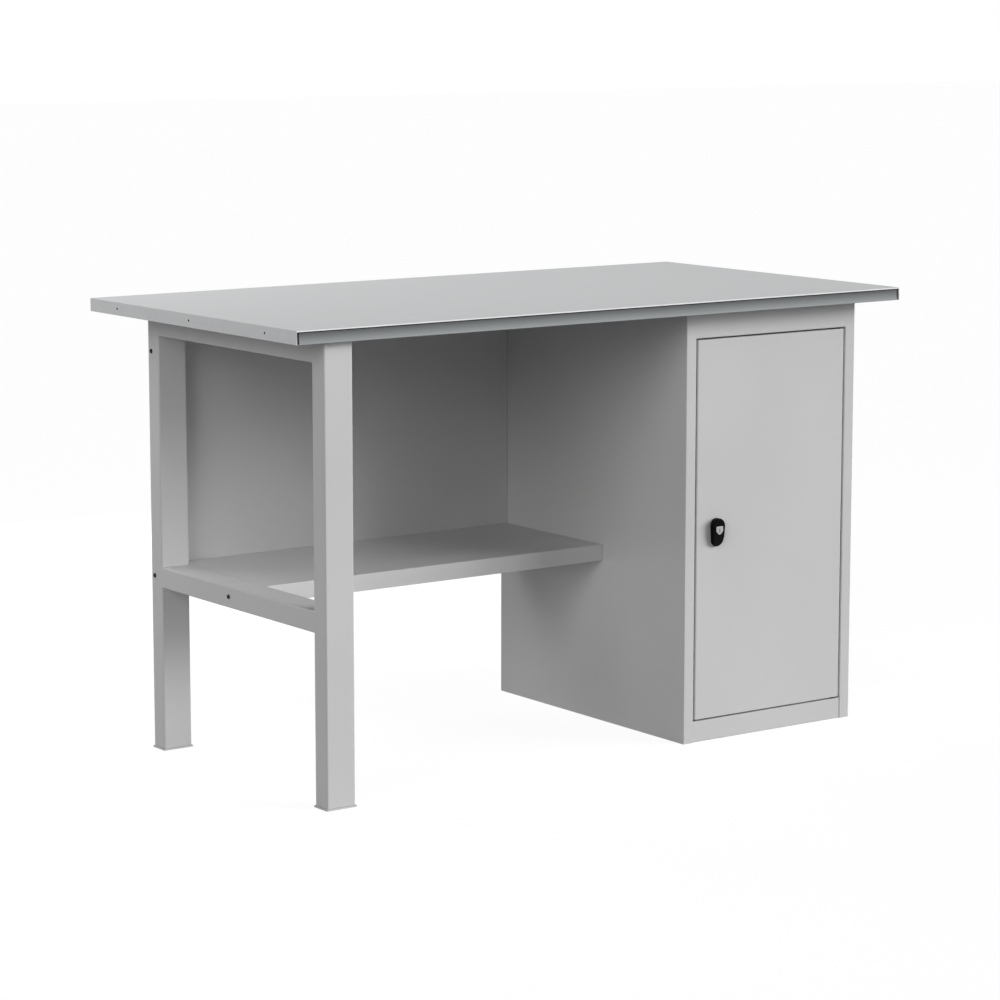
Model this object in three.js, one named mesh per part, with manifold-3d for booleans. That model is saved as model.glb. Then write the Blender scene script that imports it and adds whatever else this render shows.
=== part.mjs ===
// Steel workbench: a galvanised worktop carried by a welded leg frame and a one-door cabinet.
// Millimetres. +X runs along the bench to the right, +Y to the back and +Z up.
// The origin is on the floor under the middle of the worktop.

import * as THREE from 'three';
import { mergeVertices } from 'three/addons/utils/BufferGeometryUtils.js';
import Module from 'manifold-3d';

const wasm = await Module();
wasm.setup();

// Worktop
const WORKTOP_WIDTH = 1400;
const WORKTOP_DEPTH = 735;
const BENCH_HEIGHT = 865;
const WORKTOP_THICKNESS = 25;
const CLADDING_GAUGE = 1;
const CORNER_SEAM = 1.2;
const SIDE_OVERHANG = 68;

// Leg frame: rectangular tube, legs and side beams of one section
const TUBE_WIDTH = 60;
const TUBE_DEPTH = 40;
const TUBE_WALL = 2;
const TUBE_CORNER = 3;
const LEG_SETBACK = 20;
const FOOT_MARGIN = 2.5;
const FOOT_THICKNESS = 3;

// Open bay: shelf and back panel
const BAY_SHELF_TOP = 357;
const BAY_SHELF_SETBACK = 314;
const BAY_SHELF_LIP = 32;
const PANEL_FLANGE = 25;
const PANEL_BACK_FLANGE = 22;
const SHELF_HAT_WEB = 60;
const SHELF_HAT_FLANGE = 18;
const SHELF_HAT_DEPTH = 20;

// Cabinet
const CABINET_WIDTH = 424;
const CABINET_DEPTH = 605;
const CABINET_SETBACK = 54;
const SHEET_GAUGE = 1.2;
const POST_WIDTH = 23.5;
const JAMB_DEPTH = 24;
const STOP_WIDTH = 10;
const REAR_FLANGE = 18;
const PLINTH_HEIGHT = 41.5;
const TOP_RAIL_HEIGHT = 52.2;
const RAIL_FLANGE = 45;
const CABINET_SHELF_NAMES = ['lower', 'upper'];
const CABINET_SHELF_HEIGHT = 25;
const CABINET_SHELF_SETBACK = 70;
const SHELF_END_PLAY = 1;
const SHELF_ANGLE = 15;
const SHELF_ANGLE_WALL = 1.5;

// Door
const DOOR_SIDE_GAP = 4.5;
const DOOR_END_GAP = 3;
const DOOR_THICKNESS = 18;
const DOOR_HEM = 12;
const PIVOT_INSET = 9;
const HINGE_PIN_RADIUS = 4;
const HINGE_PIN_HEAD_RADIUS = 5.8;
const HINGE_PIN_HEAD_HEIGHT = 3;
const BUSH_WALL = 1.4;
const BUSH_FLANGE_RADIUS = 7;
const HINGE_PLATE_LENGTH = 34;
const HINGE_PLATE_THICKNESS = 4;
const DOOR_HAT_WEB = 44;
const DOOR_HAT_FLANGE = 16;
const DOOR_HAT_DEPTH = 12;
const DOOR_HAT_END_GAP = 40;
const BUFFER_RADIUS = 3;
const BUFFER_END_INSET = 110;

// Lock: wing knob, key plug, cam and two rods
const LOCK_INSET = 74;
const KNOB_PROTRUSION = 14;
const KNOB_TOP_RADIUS = 13.5;
const KNOB_TOP_RISE = 8.5;
const KNOB_TIP_RADIUS = 9;
const KNOB_TIP_DROP = 23;
const BEZEL_RADIUS = 12.5;
const BEZEL_THICKNESS = 2;
const BARREL_RADIUS = 10.5;
const SLEEVE_RADIUS = 8.2;
const LOCK_NUT_RADIUS = 15;
const LOCK_NUT_THICKNESS = 4;
const PLUG_RADIUS = 5.5;
const PLUG_LENGTH = 13;
const KEYHOLE_WIDTH = 1.6;
const KEYHOLE_HEIGHT = 7;
const KEYHOLE_DEPTH = 8;
const SHIELD_HALF_WIDTH = 9.5;
const SHIELD_TOP = 8.5;
const SHIELD_TIP = 10;
const SHIELD_THICKNESS = 1.2;
const TANG_SIZE = 8;
const CAM_THICKNESS = 3;
const CAM_WIDTH = 14;
const CAM_THROW = 10;
const CAM_PIN_RADIUS = 2.5;
const CAM_SCREW_RADIUS = 2;
const CAM_SCREW_HEAD_RADIUS = 5;
const CAM_SCREW_HEAD_HEIGHT = 2;
const CAM_SCREW_LENGTH = 6;
const ROD_WIDTH = 12;
const ROD_THICKNESS = 2.5;
const ROD_TIP_RECESS = 0.5;
const YOKE_MARGIN = 4;
const YOKE_PLAY = 0.7;
const GUIDE_HEIGHT = 20;
const GUIDE_MARGIN = 5;
const GUIDE_END_INSET = 70;

// Fasteners
const BOLT_RADIUS = 2.9;
const BOLT_HEAD_RADIUS = 4.5;
const BOLT_HEAD_HEIGHT = 2.2;
const BOLT_SPARE_THREAD = 3;
const NUT_RADIUS = 5.8;
const NUT_THICKNESS = 5;
const PANEL_BOLT_INSET = 13;
const PANEL_BOLT_DROP = 71;
const SHELF_BOLT_DROP = 19;
const SHELF_BOLT_SETBACK = 38;
const SCREW_RADIUS = 3;
const SCREW_HEAD_RADIUS = 5.5;
const SCREW_HEAD_HEIGHT = 3;
const SCREW_BITE = 16;
const SCREW_END_INSET = 150;

// Fits: SEAT is the film of paint, glue or weld between pieces that are fixed together
const SEAT = 0.3;
const RUNNING_FIT = 0.1;
const ROD_CLEARANCE = 0.5;
const CUT_PAST = 1;
const ROUND_SIDES = 16;
const HEX_SIDES = 6;
const CORNER_SEGMENTS = 1;
const KNOB_SEGMENTS = 6;

// Finishes
const PAINT = { color: 0xbfbfbf, roughness: 0.45, metalness: 0 };
const GALVANISED = { color: 0xc4c6c8, roughness: 0.35, metalness: 0.9 };
const CHIPBOARD = { color: 0xb29268, roughness: 0.85, metalness: 0 };
const BLACK_STEEL = { color: 0x1d1d1e, roughness: 0.5, metalness: 0.6 };
const ZINC_PLATE = { color: 0xb6babf, roughness: 0.3, metalness: 1 };
const BLACK_CASTING = { color: 0x101011, roughness: 0.45, metalness: 0 };
const NICKEL = { color: 0xc8c8ca, roughness: 0.2, metalness: 1 };
const NYLON = { color: 0xe4e2da, roughness: 0.6, metalness: 0 };
const RUBBER = { color: 0x232324, roughness: 0.9, metalness: 0 };

// Places that the pieces share
const worktopUnderside = BENCH_HEIGHT - WORKTOP_THICKNESS;
const supportTop = worktopUnderside - SEAT;
const benchFront = -WORKTOP_DEPTH / 2;
const legOuter = -WORKTOP_WIDTH / 2 + SIDE_OVERHANG;
const legInner = legOuter + TUBE_WIDTH;
const legFront = benchFront + LEG_SETBACK;
const cabinetRight = WORKTOP_WIDTH / 2 - SIDE_OVERHANG;
const cabinetLeft = cabinetRight - CABINET_WIDTH;
const cabinetFront = benchFront + CABINET_SETBACK;
const cabinetBack = cabinetFront + CABINET_DEPTH;
const legBack = cabinetBack - PANEL_BACK_FLANGE;
const panelFace = legBack - SHEET_GAUGE;
const bayShelfFront = benchFront + BAY_SHELF_SETBACK;
const lowerBeamBottom = BAY_SHELF_TOP - TUBE_DEPTH;
const upperBoltZ = worktopUnderside - PANEL_BOLT_DROP;
const lowerBoltZ = BAY_SHELF_TOP - SHELF_BOLT_DROP;
const legBoltY = legBack - PANEL_BOLT_INSET;
const cabinetBoltY = legBack + PANEL_BACK_FLANGE / 2;
const shelfBoltY = bayShelfFront + SHELF_BOLT_SETBACK;
const railBottom = supportTop - TOP_RAIL_HEIGHT;
const doorBottom = PLINTH_HEIGHT + DOOR_END_GAP;
const doorTop = railBottom - DOOR_END_GAP;
const pivotX = CABINET_WIDTH - POST_WIDTH - DOOR_SIDE_GAP - PIVOT_INSET;
const lockZ = (doorBottom + doorTop) / 2;
const rodOffset = CAM_THROW;

// Solids: three.js geometry to a manifold solid and back

function toSolid(geometry) {
  const bare = geometry.clone();
  bare.deleteAttribute('normal');
  bare.deleteAttribute('uv');
  const merged = mergeVertices(bare);
  const mesh = new wasm.Mesh({
    numProp: 3,
    vertProperties: new Float32Array(merged.attributes.position.array),
    triVerts: new Uint32Array(merged.index.array),
  });
  return new wasm.Manifold(mesh);
}

function toGeometry(solid) {
  const mesh = solid.getMesh();
  const geometry = new THREE.BufferGeometry();
  geometry.setAttribute('position', new THREE.BufferAttribute(mesh.vertProperties, 3));
  geometry.setIndex(new THREE.BufferAttribute(mesh.triVerts, 1));
  geometry.computeVertexNormals();
  return geometry;
}

function fuse(first, ...others) {
  return toGeometry(others.reduce((whole, piece) => whole.add(toSolid(piece)), toSolid(first)));
}

function carve(blank, ...cutters) {
  return toGeometry(cutters.reduce((whole, tool) => whole.subtract(toSolid(tool)), toSolid(blank)));
}

// Shapes

// A box between two corners, whose faces lie exactly on the numbers given
function box(x0, x1, y0, y1, z0, z1) {
  const geometry = new THREE.BoxGeometry();
  const corners = geometry.attributes.position;
  const pick = (unit, a, b) => (unit < 0 ? Math.min(a, b) : Math.max(a, b));
  for (let i = 0; i < corners.count; i += 1) {
    const x = pick(corners.getX(i), x0, x1);
    const y = pick(corners.getY(i), y0, y1);
    const z = pick(corners.getZ(i), z0, z1);
    corners.setXYZ(i, x, y, z);
  }
  return geometry;
}

// A round bar along one axis; centre holds the other two coordinates in X, Y, Z order.
function bar(axis, radius, from, to, centre, sides = ROUND_SIDES) {
  const geometry = new THREE.CylinderGeometry(radius, radius, Math.abs(to - from), sides);
  const middle = (from + to) / 2;
  if (axis === 'x') {
    return geometry.rotateZ(Math.PI / 2).translate(middle, centre[0], centre[1]);
  }
  if (axis === 'y') {
    return geometry.translate(centre[0], middle, centre[1]);
  }
  return geometry.rotateX(Math.PI / 2).translate(centre[0], centre[1], middle);
}

const X = new THREE.Vector3(1, 0, 0);
const Y = new THREE.Vector3(0, 1, 0);
const Z = new THREE.Vector3(0, 0, 1);
const forward = new THREE.Vector3(0, -1, 0);

function extrude(outline, length, axes, curveSegments = CORNER_SEGMENTS) {
  const settings = { depth: length, bevelEnabled: false, curveSegments };
  const geometry = new THREE.ExtrudeGeometry(outline, settings);
  return geometry.applyMatrix4(new THREE.Matrix4().makeBasis(...axes));
}

// Outline in X, Y, drawn up from z0 to z1
function extrudeUp(outline, z0, z1) {
  return extrude(outline, z1 - z0, [X, Y, Z]).translate(0, 0, z0);
}

// Outline in Y, Z, drawn from x0 to x1
function extrudeAcross(outline, x0, x1) {
  return extrude(outline, x1 - x0, [Y, Z, X]).translate(x0, 0, 0);
}

// Outline in X, Z, drawn from y0 to y1
function extrudeBack(outline, y0, y1, curveSegments = CORNER_SEGMENTS) {
  return extrude(outline, y1 - y0, [X, Z, forward], curveSegments).translate(0, y1, 0);
}

function polygon(points) {
  return new THREE.Shape(points.map(([u, v]) => new THREE.Vector2(u, v)));
}

function roundedRectangle(width, height, radius) {
  const right = width / 2 - radius;
  const top = height / 2 - radius;
  const outline = new THREE.Shape();
  outline.absarc(right, top, radius, 0, Math.PI / 2);
  outline.absarc(-right, top, radius, Math.PI / 2, Math.PI);
  outline.absarc(-right, -top, radius, Math.PI, 1.5 * Math.PI);
  outline.absarc(right, -top, radius, 1.5 * Math.PI, 2 * Math.PI);
  return outline;
}

function tubeSection() {
  const section = roundedRectangle(TUBE_WIDTH, TUBE_DEPTH, TUBE_CORNER);
  const inside = [TUBE_WIDTH - 2 * TUBE_WALL, TUBE_DEPTH - 2 * TUBE_WALL];
  section.holes.push(roundedRectangle(...inside, TUBE_CORNER / 2));
  return section;
}

// A top-hat stiffener section: its flanges lie on v = 0 and its web is depth away, up or down.
function hatSection(web, flange, depth, upward) {
  const half = web / 2;
  const inner = half - SHEET_GAUGE;
  const edge = half + flange;
  const points = [
    [-edge, 0], [-inner, 0], [-inner, depth - SHEET_GAUGE], [inner, depth - SHEET_GAUGE],
    [inner, 0], [edge, 0], [edge, SHEET_GAUGE], [half, SHEET_GAUGE],
    [half, depth], [-half, depth], [-half, SHEET_GAUGE], [-edge, SHEET_GAUGE],
  ];
  return polygon(points.map(([u, v]) => [u, upward * v]));
}

// A pressed tray: a top sheet with a flange turned down on each side
function tray(x0, x1, y0, y1, top, height) {
  const hollow = box(
    x0 + SHEET_GAUGE, x1 - SHEET_GAUGE, y0 + SHEET_GAUGE, y1 - SHEET_GAUGE,
    top - height - CUT_PAST, top - SHEET_GAUGE,
  );
  return carve(box(x0, x1, y0, y1, top - height, top), hollow);
}

function addPiece(group, name, geometry, finish) {
  const mesh = new THREE.Mesh(geometry, new THREE.MeshStandardMaterial(finish));
  mesh.name = name;
  group.add(mesh);
}

// Worktop: folded cladding over a board, and the screws that hold it down

const frameScrewSpots = [
  { name: 'frame_front', x: legOuter + TUBE_WIDTH / 2, y: legFront + SCREW_END_INSET },
  { name: 'frame_rear', x: legOuter + TUBE_WIDTH / 2, y: legBack - SCREW_END_INSET },
];
const cabinetScrewSpots = [
  { name: 'cabinet_front', x: (cabinetLeft + cabinetRight) / 2, y: cabinetFront + SCREW_END_INSET },
  { name: 'cabinet_rear', x: (cabinetLeft + cabinetRight) / 2, y: cabinetBack - SCREW_END_INSET },
];

function worktopSheet() {
  const halfWidth = WORKTOP_WIDTH / 2;
  const halfDepth = WORKTOP_DEPTH / 2;
  const innerWidth = halfWidth - CLADDING_GAUGE;
  const innerDepth = halfDepth - CLADDING_GAUGE;
  const blank = box(-halfWidth, halfWidth, -halfDepth, halfDepth, worktopUnderside, BENCH_HEIGHT);
  const hollowTop = BENCH_HEIGHT - CLADDING_GAUGE;
  const hollow = box(
    -innerWidth, innerWidth, -innerDepth, innerDepth, worktopUnderside - CUT_PAST, hollowTop,
  );
  const seams = [];
  for (const side of [-1, 1]) {
    for (const end of [-1, 1]) {
      const seamStart = end * (innerDepth - SEAT);
      const seamEnd = end * (innerDepth - SEAT - CORNER_SEAM);
      const inside = side * (innerWidth - CUT_PAST);
      const outside = side * (halfWidth + CUT_PAST);
      const seamTop = hollowTop - CLADDING_GAUGE;
      seams.push(box(inside, outside, seamStart, seamEnd, worktopUnderside - CUT_PAST, seamTop));
    }
  }
  return carve(blank, hollow, ...seams);
}

function worktopBoard() {
  const halfWidth = WORKTOP_WIDTH / 2 - CLADDING_GAUGE - SEAT;
  const halfDepth = WORKTOP_DEPTH / 2 - CLADDING_GAUGE - SEAT;
  const top = BENCH_HEIGHT - CLADDING_GAUGE - SEAT;
  const blank = box(-halfWidth, halfWidth, -halfDepth, halfDepth, worktopUnderside, top);
  const pilots = [...frameScrewSpots, ...cabinetScrewSpots].map(({ x, y }) => {
    const depth = worktopUnderside + SCREW_BITE + SEAT;
    return bar('z', SCREW_RADIUS + SEAT, worktopUnderside - CUT_PAST, depth, [x, y]);
  });
  return carve(blank, ...pilots);
}

function worktopScrew({ x, y }, seat) {
  const head = bar('z', SCREW_HEAD_RADIUS, seat - SCREW_HEAD_HEIGHT, seat, [x, y]);
  const shank = bar('z', SCREW_RADIUS, seat - SCREW_HEAD_HEIGHT / 2, worktopUnderside + SCREW_BITE, [x, y]);
  return fuse(head, shank);
}

function makeWorktop() {
  const worktop = new THREE.Group();
  addPiece(worktop, 'worktop_sheet', worktopSheet(), GALVANISED);
  addPiece(worktop, 'worktop_board', worktopBoard(), CHIPBOARD);
  for (const spot of frameScrewSpots) {
    const seat = supportTop - TUBE_DEPTH - SEAT;
    addPiece(worktop, `worktop_screw_${spot.name}`, worktopScrew(spot, seat), ZINC_PLATE);
  }
  for (const spot of cabinetScrewSpots) {
    const seat = supportTop - SHEET_GAUGE - SEAT;
    addPiece(worktop, `worktop_screw_${spot.name}`, worktopScrew(spot, seat), ZINC_PLATE);
  }
  return worktop;
}

// Leg frame: two legs on foot plates, joined by an upper and a lower side beam

function leg(y, boltHeights) {
  const post = extrudeUp(tubeSection(), FOOT_THICKNESS + SEAT, supportTop);
  post.translate(legOuter + TUBE_WIDTH / 2, y, 0);
  const holes = boltHeights.map((z) => {
    return bar('x', BOLT_RADIUS + SEAT, legOuter - CUT_PAST, legInner + CUT_PAST, [legBoltY, z]);
  });
  return carve(post, ...holes);
}

function sideBeam(bottom) {
  const start = legFront + TUBE_DEPTH + SEAT;
  const end = legBack - TUBE_DEPTH - SEAT;
  const beam = extrudeBack(tubeSection(), start, end);
  return beam.translate(legOuter + TUBE_WIDTH / 2, 0, bottom + TUBE_DEPTH / 2);
}

function footPlate(y) {
  const outline = roundedRectangle(TUBE_WIDTH + 2 * FOOT_MARGIN, TUBE_DEPTH + 2 * FOOT_MARGIN, TUBE_CORNER);
  return extrudeUp(outline, 0, FOOT_THICKNESS).translate(legOuter + TUBE_WIDTH / 2, y, 0);
}

function makeLegFrame() {
  const frame = new THREE.Group();
  const frontLegY = legFront + TUBE_DEPTH / 2;
  const rearLegY = legBack - TUBE_DEPTH / 2;
  const upperBeamBottom = supportTop - TUBE_DEPTH;
  const screwHoles = frameScrewSpots.map(({ x, y }) => {
    return bar('z', SCREW_RADIUS + SEAT, upperBeamBottom - CUT_PAST, supportTop + CUT_PAST, [x, y]);
  });
  const acrossTube = [legOuter - CUT_PAST, legInner + CUT_PAST];
  const boltHole = bar('x', BOLT_RADIUS + SEAT, ...acrossTube, [shelfBoltY, lowerBoltZ]);
  addPiece(frame, 'leg_front', leg(frontLegY, []), PAINT);
  addPiece(frame, 'leg_rear', leg(rearLegY, [upperBoltZ, lowerBoltZ]), PAINT);
  addPiece(frame, 'upper_side_beam', carve(sideBeam(upperBeamBottom), ...screwHoles), PAINT);
  addPiece(frame, 'lower_side_beam', carve(sideBeam(lowerBeamBottom), boltHole), PAINT);
  addPiece(frame, 'foot_plate_front', footPlate(frontLegY), PAINT);
  addPiece(frame, 'foot_plate_rear', footPlate(rearLegY), PAINT);
  return frame;
}

// Open bay: back panel, shelf with its stiffener, and the bolts that tie the bench together

const bayLeft = legInner + SEAT;
const bayRight = cabinetLeft - SEAT;

// In plan the panel is a Z: one flange turns forward onto the rear leg, the other back onto the cabinet.
function backPanel() {
  const front = legBack - PANEL_FLANGE;
  const rear = legBack + PANEL_BACK_FLANGE;
  const section = polygon([
    [bayLeft, front], [bayLeft + SHEET_GAUGE, front], [bayLeft + SHEET_GAUGE, panelFace],
    [bayRight, panelFace], [bayRight, rear], [bayRight - SHEET_GAUGE, rear],
    [bayRight - SHEET_GAUGE, legBack], [bayLeft, legBack],
  ]);
  const panel = extrudeUp(section, lowerBeamBottom, supportTop);
  const holes = [upperBoltZ, lowerBoltZ].flatMap((z) => [
    bar('x', BOLT_RADIUS + SEAT, bayLeft - CUT_PAST, bayLeft + SHEET_GAUGE + CUT_PAST, [legBoltY, z]),
    bar('x', BOLT_RADIUS + SEAT, bayRight - SHEET_GAUGE - CUT_PAST, bayRight + CUT_PAST, [cabinetBoltY, z]),
  ]);
  return carve(panel, ...holes);
}

function bayShelf() {
  const bottom = BAY_SHELF_TOP - BAY_SHELF_LIP;
  const blank = tray(bayLeft, bayRight, bayShelfFront, panelFace - SEAT, BAY_SHELF_TOP, BAY_SHELF_LIP);
  const notchRight = bayLeft + SHEET_GAUGE + SEAT;
  const notchFront = legBack - PANEL_FLANGE - SEAT;
  const panelNotch = box(
    bayLeft - CUT_PAST, notchRight, notchFront, legBack, bottom - CUT_PAST, BAY_SHELF_TOP + CUT_PAST,
  );
  const holeThrough = [bayLeft - CUT_PAST, bayRight + CUT_PAST];
  const boltHoles = bar('x', BOLT_RADIUS + SEAT, ...holeThrough, [shelfBoltY, lowerBoltZ]);
  return carve(blank, panelNotch, boltHoles);
}

function bayShelfStiffener() {
  const middle = (bayShelfFront + panelFace) / 2;
  const top = BAY_SHELF_TOP - SHEET_GAUGE - SEAT;
  const hat = hatSection(SHELF_HAT_WEB, SHELF_HAT_FLANGE, SHELF_HAT_DEPTH, -1);
  const ends = [bayLeft + SHEET_GAUGE + SEAT, bayRight - SHEET_GAUGE - SEAT];
  return extrudeAcross(hat, ...ends).translate(0, middle, top);
}

// A bolt along X: its head starts at seat and its shank runs towards the tip.
function crossBolt(seat, tip, y, z) {
  const outward = Math.sign(seat - tip);
  const head = bar('x', BOLT_HEAD_RADIUS, seat, seat + outward * BOLT_HEAD_HEIGHT, [y, z]);
  const shank = bar('x', BOLT_RADIUS, seat + outward * BOLT_HEAD_HEIGHT / 2, tip, [y, z]);
  return fuse(head, shank);
}

function nut(seat, y, z) {
  const blank = bar('x', NUT_RADIUS, seat, seat + NUT_THICKNESS, [y, z], HEX_SIDES);
  return carve(blank, bar('x', BOLT_RADIUS + SEAT, seat - CUT_PAST, seat + NUT_THICKNESS + CUT_PAST, [y, z]));
}

const bayBolts = [
  { name: 'panel_bolt_upper', legY: legBoltY, cabinetY: cabinetBoltY, z: upperBoltZ },
  { name: 'panel_bolt_lower', legY: legBoltY, cabinetY: cabinetBoltY, z: lowerBoltZ },
  { name: 'shelf_bolt', legY: shelfBoltY, cabinetY: shelfBoltY, z: lowerBoltZ },
];

function makeBay() {
  const bay = new THREE.Group();
  addPiece(bay, 'back_panel', backPanel(), PAINT);
  addPiece(bay, 'bay_shelf', bayShelf(), PAINT);
  addPiece(bay, 'bay_shelf_stiffener', bayShelfStiffener(), PAINT);
  const nutSeat = bayLeft + SHEET_GAUGE + SEAT;
  const legTip = nutSeat + NUT_THICKNESS + BOLT_SPARE_THREAD;
  const cabinetTip = bayRight - SHEET_GAUGE - BOLT_SPARE_THREAD;
  for (const { name, legY, cabinetY, z } of bayBolts) {
    addPiece(bay, `${name}_leg`, crossBolt(legOuter - SEAT, legTip, legY, z), BLACK_STEEL);
    addPiece(bay, `${name}_nut`, nut(nutSeat, legY, z), ZINC_PLATE);
    const seat = cabinetLeft + SHEET_GAUGE + SEAT;
    addPiece(bay, `${name}_cabinet`, crossBolt(seat, cabinetTip, cabinetY, z), BLACK_STEEL);
  }
  return bay;
}

// Cabinet: built in its own frame, with x = 0 at its left face and y = 0 at its front face

const insideLeft = SHEET_GAUGE + SEAT;
const insideRight = CABINET_WIDTH - SHEET_GAUGE - SEAT;
const lapFace = SHEET_GAUGE + SEAT;
const backSheetRear = CABINET_DEPTH - SHEET_GAUGE - SEAT;
const backSheetFront = backSheetRear - SHEET_GAUGE;
const bushRadius = HINGE_PIN_RADIUS + RUNNING_FIT + BUSH_WALL;
const lockStack = LOCK_NUT_THICKNESS + CAM_THICKNESS + CAM_SCREW_HEAD_HEIGHT + 4 * SEAT;
const rodFront = -PIVOT_INSET + SHEET_GAUGE + lockStack + ROD_CLEARANCE;
const rodBack = rodFront + ROD_THICKNESS;

// The slot that one lock rod passes through, drawn in the cabinet's frame
function rodSlot(side, z0, z1) {
  const middle = LOCK_INSET + side * rodOffset;
  const half = ROD_WIDTH / 2 + ROD_CLEARANCE;
  const front = PIVOT_INSET + rodFront - ROD_CLEARANCE;
  const back = PIVOT_INSET + rodBack + ROD_CLEARANCE;
  return box(middle - half, middle + half, front, back, z0, z1);
}

// One folded sheet: rear flange, side, front post, jamb and door stop. The jamb and the stop
// end short of the plinth and the top rail, and the post runs the full height.
function cabinetSide(across, bolts) {
  const jambBack = JAMB_DEPTH + SHEET_GAUGE;
  const jambLeft = POST_WIDTH - SHEET_GAUGE;
  const stopEdge = POST_WIDTH + STOP_WIDTH;
  const rearFace = CABINET_DEPTH - SHEET_GAUGE;
  const section = [
    [0, 0], [POST_WIDTH, 0], [POST_WIDTH, JAMB_DEPTH], [stopEdge, JAMB_DEPTH], [stopEdge, jambBack],
    [jambLeft, jambBack], [jambLeft, SHEET_GAUGE], [SHEET_GAUGE, SHEET_GAUGE], [SHEET_GAUGE, rearFace],
    [REAR_FLANGE, rearFace], [REAR_FLANGE, CABINET_DEPTH], [0, CABINET_DEPTH],
  ];
  const blank = extrudeUp(polygon(section.map(([x, y]) => [across(x), y])), 0, supportTop);
  const clearJamb = (z0, z1) => {
    const front = SHEET_GAUGE + SEAT / 2;
    return box(across(jambLeft / 2), across(stopEdge + CUT_PAST), front, jambBack + CUT_PAST, z0, z1);
  };
  const holes = bolts.map(({ cabinetY, z }) => {
    const y = cabinetY - cabinetFront;
    return bar('x', BOLT_RADIUS + SEAT, -CUT_PAST, SHEET_GAUGE + CUT_PAST, [y, z]);
  });
  return carve(
    blank,
    clearJamb(-CUT_PAST, PLINTH_HEIGHT + SEAT),
    clearJamb(railBottom - SEAT, supportTop + CUT_PAST),
    ...holes,
  );
}

function topRail() {
  const railLeft = POST_WIDTH + SEAT;
  const flangeTop = railBottom + SHEET_GAUGE;
  const section = polygon([
    [0, railBottom], [RAIL_FLANGE, railBottom], [RAIL_FLANGE, flangeTop],
    [SHEET_GAUGE, flangeTop], [SHEET_GAUGE, supportTop], [0, supportTop],
  ]);
  const rail = extrudeAcross(section, railLeft, CABINET_WIDTH - railLeft);
  const flangeCut = [railBottom - CUT_PAST, flangeTop + CUT_PAST];
  const pinHole = bar('z', HINGE_PIN_RADIUS + SEAT, ...flangeCut, [pivotX, PIVOT_INSET]);
  return carve(rail, pinHole, rodSlot(1, ...flangeCut));
}

// The plinth laps behind the two posts, so its face stands back from theirs.
function plinthRail() {
  const faceBack = lapFace + SHEET_GAUGE;
  const flangeBottom = PLINTH_HEIGHT - SHEET_GAUGE;
  const section = polygon([
    [lapFace, 0], [JAMB_DEPTH, 0], [JAMB_DEPTH, SHEET_GAUGE], [faceBack, SHEET_GAUGE],
    [faceBack, flangeBottom], [RAIL_FLANGE, flangeBottom], [RAIL_FLANGE, PLINTH_HEIGHT],
    [lapFace, PLINTH_HEIGHT],
  ]);
  const rail = extrudeAcross(section, insideLeft, insideRight);
  const flangeCut = [flangeBottom - CUT_PAST, PLINTH_HEIGHT + CUT_PAST];
  const pinHole = bar('z', HINGE_PIN_RADIUS + SEAT, ...flangeCut, [pivotX, PIVOT_INSET]);
  return carve(rail, pinHole, rodSlot(-1, ...flangeCut));
}

function cabinetTop() {
  const sheetBottom = supportTop - SHEET_GAUGE;
  const sheet = box(insideLeft, insideRight, lapFace, backSheetFront - SEAT, sheetBottom, supportTop);
  const holes = cabinetScrewSpots.map(({ x, y }) => {
    const centre = [x - cabinetLeft, y - cabinetFront];
    return bar('z', SCREW_RADIUS + SEAT, sheetBottom - CUT_PAST, supportTop + CUT_PAST, centre);
  });
  return carve(sheet, ...holes);
}

function shelfAngle(across, top, y0, y1) {
  const wall = insideLeft + SHELF_ANGLE_WALL;
  const edge = insideLeft + SHELF_ANGLE;
  const section = [
    [insideLeft, top], [edge, top], [edge, top - SHELF_ANGLE_WALL], [wall, top - SHELF_ANGLE_WALL],
    [wall, top - SHELF_ANGLE], [insideLeft, top - SHELF_ANGLE],
  ];
  return extrudeBack(polygon(section.map(([x, z]) => [across(x), z])), y0, y1);
}

// A fixed hinge pin: its head bears on a flange of the cabinet and its shank enters the door.
function hingePin(seat, tip) {
  const centre = [pivotX, PIVOT_INSET];
  const outward = Math.sign(seat - tip);
  const head = bar('z', HINGE_PIN_HEAD_RADIUS, seat, seat + outward * HINGE_PIN_HEAD_HEIGHT, centre);
  const shank = bar('z', HINGE_PIN_RADIUS, seat + outward * HINGE_PIN_HEAD_HEIGHT / 2, tip, centre);
  return fuse(head, shank);
}

function doorBuffer(z) {
  const front = DOOR_THICKNESS + SEAT;
  const x = POST_WIDTH + DOOR_SIDE_GAP + SHEET_GAUGE;
  return bar('y', BUFFER_RADIUS, front, JAMB_DEPTH - SEAT, [x, z]);
}

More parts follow.
